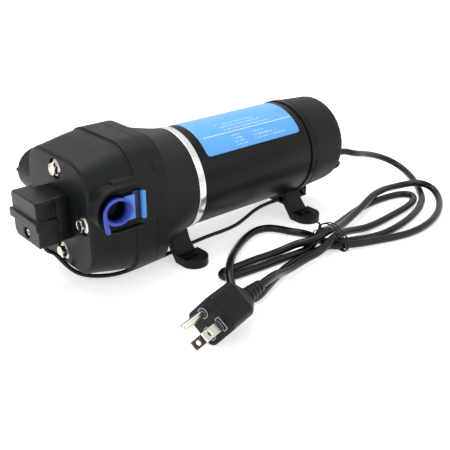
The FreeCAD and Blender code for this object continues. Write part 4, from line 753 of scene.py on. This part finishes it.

# %% [markdown]
# A thin pale frame round each pin paints the highlight that shows at its base: a flat frame
# between a pin's outline and the same outline moved outwards.

# %% Pale frames round the pins: a painted highlight
COLLAR_WIDE, COLLAR_HIGH, COLLAR_SUNK = 0.45, 0.3, 0.1
BLADE_SPACING, FRAME_HALF_S, FRAME_HALF_T, PIN_FRAME_R = 12.7, 1.6, 4.1, PIN_R + 0.75
# the frames' pale colour paints the highlight at the pins' bases
painted_highlight_pale = moulded("pale frame, painted highlight", "#b9bdc2", 0.4, 1.0, 0.05, 0.05, 0.5)


def collar(outline):
    """A flat pale frame on the plug's face, just outside an (s, t) outline: a painted highlight."""
    outer = inset(outline, -COLLAR_WIDE)
    low, high = np.full(len(outline), -COLLAR_SUNK), np.full(len(outline), COLLAR_HIGH)
    rings = [plug_place(line[:, 0], line[:, 1], level)
             for line, level in ((outline, low), (outline, high), (outer, high), (outer, low))]
    return skin("collar", rings, painted_highlight_pale, hoop=True)


def blade_frame(middle):
    """A rounded oblong round the blade whose middle lies at one S."""
    s_in, s_out = middle - FRAME_HALF_S, middle + FRAME_HALF_S
    return rounded([(s_in, -FRAME_HALF_T, 0.5), (s_out, -FRAME_HALF_T, 0.5),
                    (s_out, FRAME_HALF_T, 0.5), (s_in, FRAME_HALF_T, 0.5)], 4)


pin_frame = np.stack([PIN_FRAME_R * np.cos(WHOLE_TURN), PIN_T + PIN_FRAME_R * np.sin(WHOLE_TURN)], -1)
frames = [pin_frame, blade_frame(-BLADE_SPACING / 2), blade_frame(BLADE_SPACING / 2)]
pin_highlight_frames = joined("pin_highlight_frames", [collar(outline) for outline in frames])
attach(pin_highlight_frames, "base")

# %% [markdown]
# ## Cords
# The mains cord is a three-core lead 6 mm thick, as long as the picture shows it: it leaves the cap,
# drops to the floor and runs into a hank held by one tie. Its points are the solid's. They were picked
# on the picture's line and then spread a little by a fit, so that the hank's strands lie clear of each
# other. One smooth spline follows them, so the cord keeps its real length.

# %% Route of the mains cord, in millimetres
LEAD_ROUTE = [
    (123.5, -6, 36.5), (136, -6, 36.5), (149.6, -9.3, 31.3), (169.2, -4.4, 25.7), (192.8, -2.2, 17.7),
    (207.9, -7.2, 10.7), (210.9, -20.2, 5.8), (200, -40.4, 3.7), (182.9, -60.2, 3.1), (163.7, -76.8, 3.2),
    (154.05, -81.9, 3.2), (144.4, -87, 3.2), (122.7, -93.7, 3.1), (101.3, -97.6, 3.1), (81.2, -98.6, 3.1),
    (66.5, -95.9, 3.1), (54.9, -91.5, 3.3), (45.3, -86.8, 3.1), (39.3, -83.2, 4.2), (31.2, -79.2, 4.5),
    (33.9, -67.4, 4.1), (33.7, -57, 3.3), (28.2, -48.2, 3.2), (24, -37.7, 3.3), (17.8, -30.2, 3.4),
    (6.1, -28.6, 3.5), (-10.2, -34.3, 3.5), (-30.3, -47.6, 6.2), (-49.2, -63.2, 10.2), (-61.7, -75.7, 9.8),
    (-66.9, -83.8, 5.7), (-69.7, -92, 3.1), (-71.2, -101.1, 3.1), (-67.3, -105.5, 3.1), (-58.8, -104.4, 3.1),
    (-47.7, -99.6, 3.1), (-32.7, -93.3, 3.1), (-15.9, -87.8, 3.1), (1.5, -85, 3.1), (18.3, -85.7, 3.8),
    (30.9, -86, 4.6), (33.7, -89.8, 4.3), (41.3, -94.1, 4.5), (53.3, -98.7, 3.8), (67.2, -103, 3.4),
    (81.1, -107.6, 3.2), (96.3, -111.2, 3.1), (115.1, -111.8, 3.1), (136.1, -107.8, 3.1), (159.7, -97.6, 3.1),
    (180.5, -82.4, 3.4), (187.2, -70.3, 6.6), (181, -61.8, 10.4), (176.7, -52, 7.7), (165.9, -45.8, 5.8),
    (146.5, -47, 8.4), (124.3, -52.3, 10.4), (101.1, -59.8, 8.2), (80.7, -66.1, 7.2), (61.8, -72.4, 7.5),
    (46, -77.7, 10.6), (31, -82.6, 15.1), (19.8, -82.7, 12.2), (12.6, -79.3, 10.6), (6.9, -74, 8.8),
    (-1.1, -69.7, 5.2), (-13.8, -66.7, 3.3), (-26.9, -64.8, 3.1), (-41.2, -64.9, 3.1), (-50.7, -64.7, 3.1),
    (-56.4, -63.3, 3.1), (-61.2, -67.1, 3.1), (-59.4, -72.1, 3.1), (-48.6, -74, 3.1), (-34.7, -75.3, 3.1),
    (-22.5, -76.4, 3.2), (-8.7, -76.9, 3.1), (3.3, -78.2, 3.1), (13.1, -78.6, 3.1), (21.3, -78.9, 6.3),
    (30.9, -75.8, 12.1), (41.9, -72.2, 9.1), (58.1, -67.1, 5.2), (80.4, -59.3, 3.1), (101.6, -54, 3.1),
    (120.5, -52, 3.1), (137.7, -52.1, 3.1), (150.4, -54, 3.2), (160.8, -56.9, 3.2), (165.6, -63.1, 3.1),
    (161.2, -70.2, 3.1), (150.1, -75.4, 3.1), (135.7, -78.4, 3.1), (117.9, -80.4, 3.1), (98, -82.4, 3.1),
    (79.6, -83.4, 3.7), (64.8, -82.7, 5.6), (48.8, -83.9, 9.5), (31, -89.1, 11.9), (16.5, -91.9, 7.8),
    (7.2, -91.4, 6), (-4.1, -92.1, 5.8), (-18.7, -95, 6.1), (-34.3, -99.1, 9),
    (-51.1, -107.1, 15.56), (-66.1, -111.35, 15.56),
]
WIRE_ROUTE = [
    (-164, -8, 44.5), (-164, -8, 38), (-161.5, -7, 32.5), (-155, -4.5, 28), (-150.5, -6.8, 20.1),
    (-145.5, -10.5, 13.2), (-139, -12.2, 8.6), (-130, -13.5, 5), (-120, -16.5, 3.6), (-111, -17.3, 2.9),
    (-101, -17, 2.8), (-84, -15.5, 2.6), (-65, -14, 2.6), (-45, -11.5, 2.6), (-26, -10, 2.6), (-10, -10, 2.2),
    (4, -10, 3.2), (14, -10, 6.8), (24, -10.5, 11.4), (36, -12, 14), (48, -13.6, 14.6), (62, -14, 14.6),
    (78, -14, 14.6), (85, -9, 14.2), (91, -1, 14.4), (98, 3, 15.6), (105, 0, 18.6), (111, -7, 22.5),
    (116.5, -13.5, 26.5), (118.5, -17.5, 31), (114.5, -18.2, 34.8), (108, -17, 36), (97, -17, 36),
]


# %% Draw a cord
def cord_curve(name, route, radius, material):
    """A round cord whose middle is the order-3 NURBS spline with the route's points as control points."""
    data = bpy.data.curves.new(name, "CURVE")
    data.dimensions = "3D"
    spline = data.splines.new("NURBS")
    spline.points.add(len(route) - 1)
    flat = np.ones((len(route), 4))
    flat[:, :3] = np.array(route, float) * MM
    spline.points.foreach_set("co", flat.ravel())
    spline.order_u = 3
    spline.use_endpoint_u = True
    spline.resolution_u = 12
    data.bevel_depth = radius * MM
    data.bevel_resolution = 5
    data.use_fill_caps = True
    data.materials.append(material)
    item = bpy.data.objects.new(name, data)
    bpy.context.scene.collection.objects.link(item)
    return item


def spline_length(item):
    """Length in metres of a cord's middle, from its curve with no bevel."""
    bare = item.data.copy()
    bare.bevel_depth = 0.0
    probe = bpy.data.objects.new("probe", bare)
    mesh = bpy.data.meshes.new_from_object(probe)
    points = np.zeros(len(mesh.vertices) * 3)
    mesh.vertices.foreach_get("co", points)
    bpy.data.objects.remove(probe)
    return float(np.linalg.norm(np.diff(points.reshape(-1, 3), axis=0), axis=1).sum())


LEAD_RADIUS, WIRE_RADIUS = 3.0, 1.5
mains_lead = cord_curve("mains_lead", LEAD_ROUTE, LEAD_RADIUS, cord_pvc)
stands_for(mains_lead, "mains_cord", "cord_hank")
switch_lead = cord_curve("switch_lead", WIRE_ROUTE, WIRE_RADIUS, cord_pvc)
stands_for(switch_lead, "switch_wire")

# %% [markdown]
# A flat tie of coated wire goes twice round the strands. Each wrap follows the outline of the bundle,
# which was read off the solid's strands, and the two ends are wound round each other as a helix.

# %% Twist tie
TIE_OUTLINE = [(-98.6, 0.55), (-76.5, 0.55), (-68.6, 7.5), (-69.6, 14.2), (-77.5, 17.9), (-84.0, 18.2),
               (-96.0, 11.2)]
TIE_WRAPS = ((37.0, 0.6), (39.4, -0.5))
TIE_WIDE, TIE_THICK, TIE_CORNER_R, TWIST_R = 1.7, 0.9, 3.2, 0.55
wrap_line = rounded([(y, z, TIE_CORNER_R) for y, z in TIE_OUTLINE], 6)
tie_pieces = []
for x, lean in TIE_WRAPS:
    wave = lean * np.sin(np.linspace(0, 2 * math.pi, len(wrap_line), endpoint=False))
    wrap = np.stack([x + wave, wrap_line[:, 0], wrap_line[:, 1] + 0.1], -1)
    tie_pieces.append(strand("wrap", wrap, TIE_THICK, TIE_WIDE, tie_pvc, up=(1, 0, 0), hoop=True))
twist_line = smooth_path([(37.6, -70.2, 14.6), (35.4, -68.4, 16.6), (33.0, -67.8, 17.8),
                          (30.4, -68.2, 18.6)], 60)
for phase in (0.0, math.pi):
    wind = phase + np.linspace(0, 5 * math.pi, len(twist_line))
    shift = TWIST_R * np.stack([0 * wind, np.cos(wind), np.sin(wind)], -1)
    tie_pieces.append(strand("twist", twist_line + shift, TIE_THICK, TIE_THICK, tie_pvc))
loose_end = smooth_path([(37.2, -69.4, 9.9), (33.8, -68.0, 9.3), (30.2, -69.4, 8.2)], 24)
tie_pieces.append(strand("end", loose_end, 1.0, 0.8, tie_pvc))
stands_for(joined("twist_tie", tie_pieces), "cord_tie")

# %% Lengths of both cords
lead_long, wire_long = spline_length(mains_lead), spline_length(switch_lead)
print("mains cord %.0f mm, switch wire %.0f mm" % (lead_long / MM, wire_long / MM))

# %% [markdown]
# ## Rating label
# The label is a printed film wrapped over the top of the tube. Its print is generic: a sky blue
# ground, a thin white rule and rows of broken pale bars. The pattern is drawn from the label's own UV
# map, which is in millimetres along and round the tube.

# %% Label film
LABEL_FROM, LABEL_TO, LABEL_R = RING_FRONT + 14, TUBE_END - 7.7, TUBE_R + 0.03
LABEL_SPAN, LABEL_CORNER_R, LABEL_THICK = math.radians(54.3), 3.0, 0.12
label_long = LABEL_TO - LABEL_FROM
label_tall = 2 * LABEL_SPAN * LABEL_R


def label_film():
    """A sheet of even squares on the tube, its corners drawn in to rounded ones."""
    along, around = np.meshgrid(np.linspace(0, 1, 97), np.linspace(-1, 1, 121), indexing="ij")
    u, v = along * label_long, around * label_tall / 2
    into_corner = np.clip(LABEL_CORNER_R - np.minimum(u, label_long - u), 0, LABEL_CORNER_R)
    cut = LABEL_CORNER_R - np.sqrt(np.clip(LABEL_CORNER_R ** 2 - into_corner ** 2, 0, None))
    v = v * (label_tall / 2 - cut) / (label_tall / 2)
    angle = v / LABEL_R
    points = np.stack([LABEL_FROM + u, LABEL_R * np.sin(angle), AXIS + LABEL_R * np.cos(angle)], -1)
    rows, count = u.shape
    row, column = np.meshgrid(np.arange(rows - 1), np.arange(count - 1), indexing="ij")
    first = row * count + column
    faces = np.stack([first, first + count, first + count + 1, first + 1], -1).reshape(-1, 4)
    mesh = bpy.data.meshes.new("label_film")
    mesh.from_pydata((points.reshape(-1, 3) * MM).tolist(), [], faces.tolist())
    layer = mesh.uv_layers.new(name="label_mm")
    index = np.zeros(len(mesh.loops), dtype=np.int32)
    mesh.loops.foreach_get("vertex_index", index)
    flat = np.stack([u.ravel(), v.ravel()], -1)[index]
    layer.data.foreach_set("uv", flat.astype(np.float32).ravel())
    return mesh


# %% Label print
RULE_V, RULE_HALF, RULE_FROM = -LABEL_R * math.radians(31.5), 0.25, 4.4
BAR_HALF, BAR_STRENGTH = 0.5, 0.55
# each bar's place round the tube, and its start and end along it, in millimetres
BAR_ROWS = ((-18.0, 26.0, 72.0), (-14.6, 24.0, 66.0), (-11.2, 22.0, 60.0), (-24.6, 29.0, 37.0),
            (-27.4, 29.0, 38.0), (-30.2, 29.0, 38.0), (-32.8, 30.0, 40.0), (-25.6, 48.0, 60.0),
            (-28.6, 48.0, 72.0), (-31.6, 48.0, 80.0))


def label_print():
    """Blue film with a rule and rows of pale bars, all placed in millimetres of the UV map."""
    material, tree, shader, place = fresh_material("printed film, sky blue")
    uv = add(tree, "UVMap", uv_map="label_mm").outputs[0]
    split = add(tree, "SeparateXYZ", {0: uv})
    u, v = split.outputs[0], split.outputs[1]

    def worked(kind, first, second):
        """The result of one sum on two values or outputs."""
        return add(tree, "Math", {0: first, 1: second}, operation=kind).outputs[0]

    def band(value, low, high):
        """One between two values, with a soft edge of a tenth of a millimetre."""
        above = add(tree, "MapRange", {"Value": value, "From Min": low - 0.1, "From Max": low + 0.1})
        below = add(tree, "MapRange", {"Value": value, "From Min": high + 0.1, "From Max": high - 0.1})
        return worked("MULTIPLY", above.outputs[0], below.outputs[0])

    rule = worked("MULTIPLY", band(v, RULE_V - RULE_HALF, RULE_V + RULE_HALF),
                  band(u, RULE_FROM, label_long - 1.0))
    gaps = add(tree, "TexNoise", {"Vector": uv, "Scale": 0.55, "Detail": 1.0}).outputs[0]
    spaced = add(tree, "MapRange", {"Value": gaps, "From Min": 0.44, "From Max": 0.5}).outputs[0]
    bars = 0.0
    for level, start, stop in BAR_ROWS:
        bar = worked("MULTIPLY", band(v, level - BAR_HALF, level + BAR_HALF), band(u, start, stop))
        bars = worked("MAXIMUM", bars, bar)
    pale_bars = worked("MULTIPLY", worked("MULTIPLY", bars, spaced), BAR_STRENGTH)
    marks = worked("MAXIMUM", rule, pale_bars)
    ink = add(tree, "TexNoise", {"Vector": place, "Scale": 1 / (9 * MM), "Detail": 2.0}).outputs[0]
    ground_tint = mixed(tree, ink, linear("#5aa6ee"), linear("#63aef2"))
    tree.links.new(mixed(tree, marks, ground_tint, linear("#e6f2fb")), shader.inputs["Base Color"])
    gloss = add(tree, "MapRange", {"Value": ink, "To Min": 0.3, "To Max": 0.4})
    tree.links.new(gloss.outputs[0], shader.inputs["Roughness"])
    return material


label_mesh = label_film()
label_mesh.shade_smooth()
label_mesh.materials.append(label_print())
label = bpy.data.objects.new("label_film", label_mesh)
bpy.context.scene.collection.objects.link(label)
film = label.modifiers.new("film thickness", "SOLIDIFY")
film.thickness = LABEL_THICK * MM
film.offset = 1.0
stands_for(label, "rating_label")
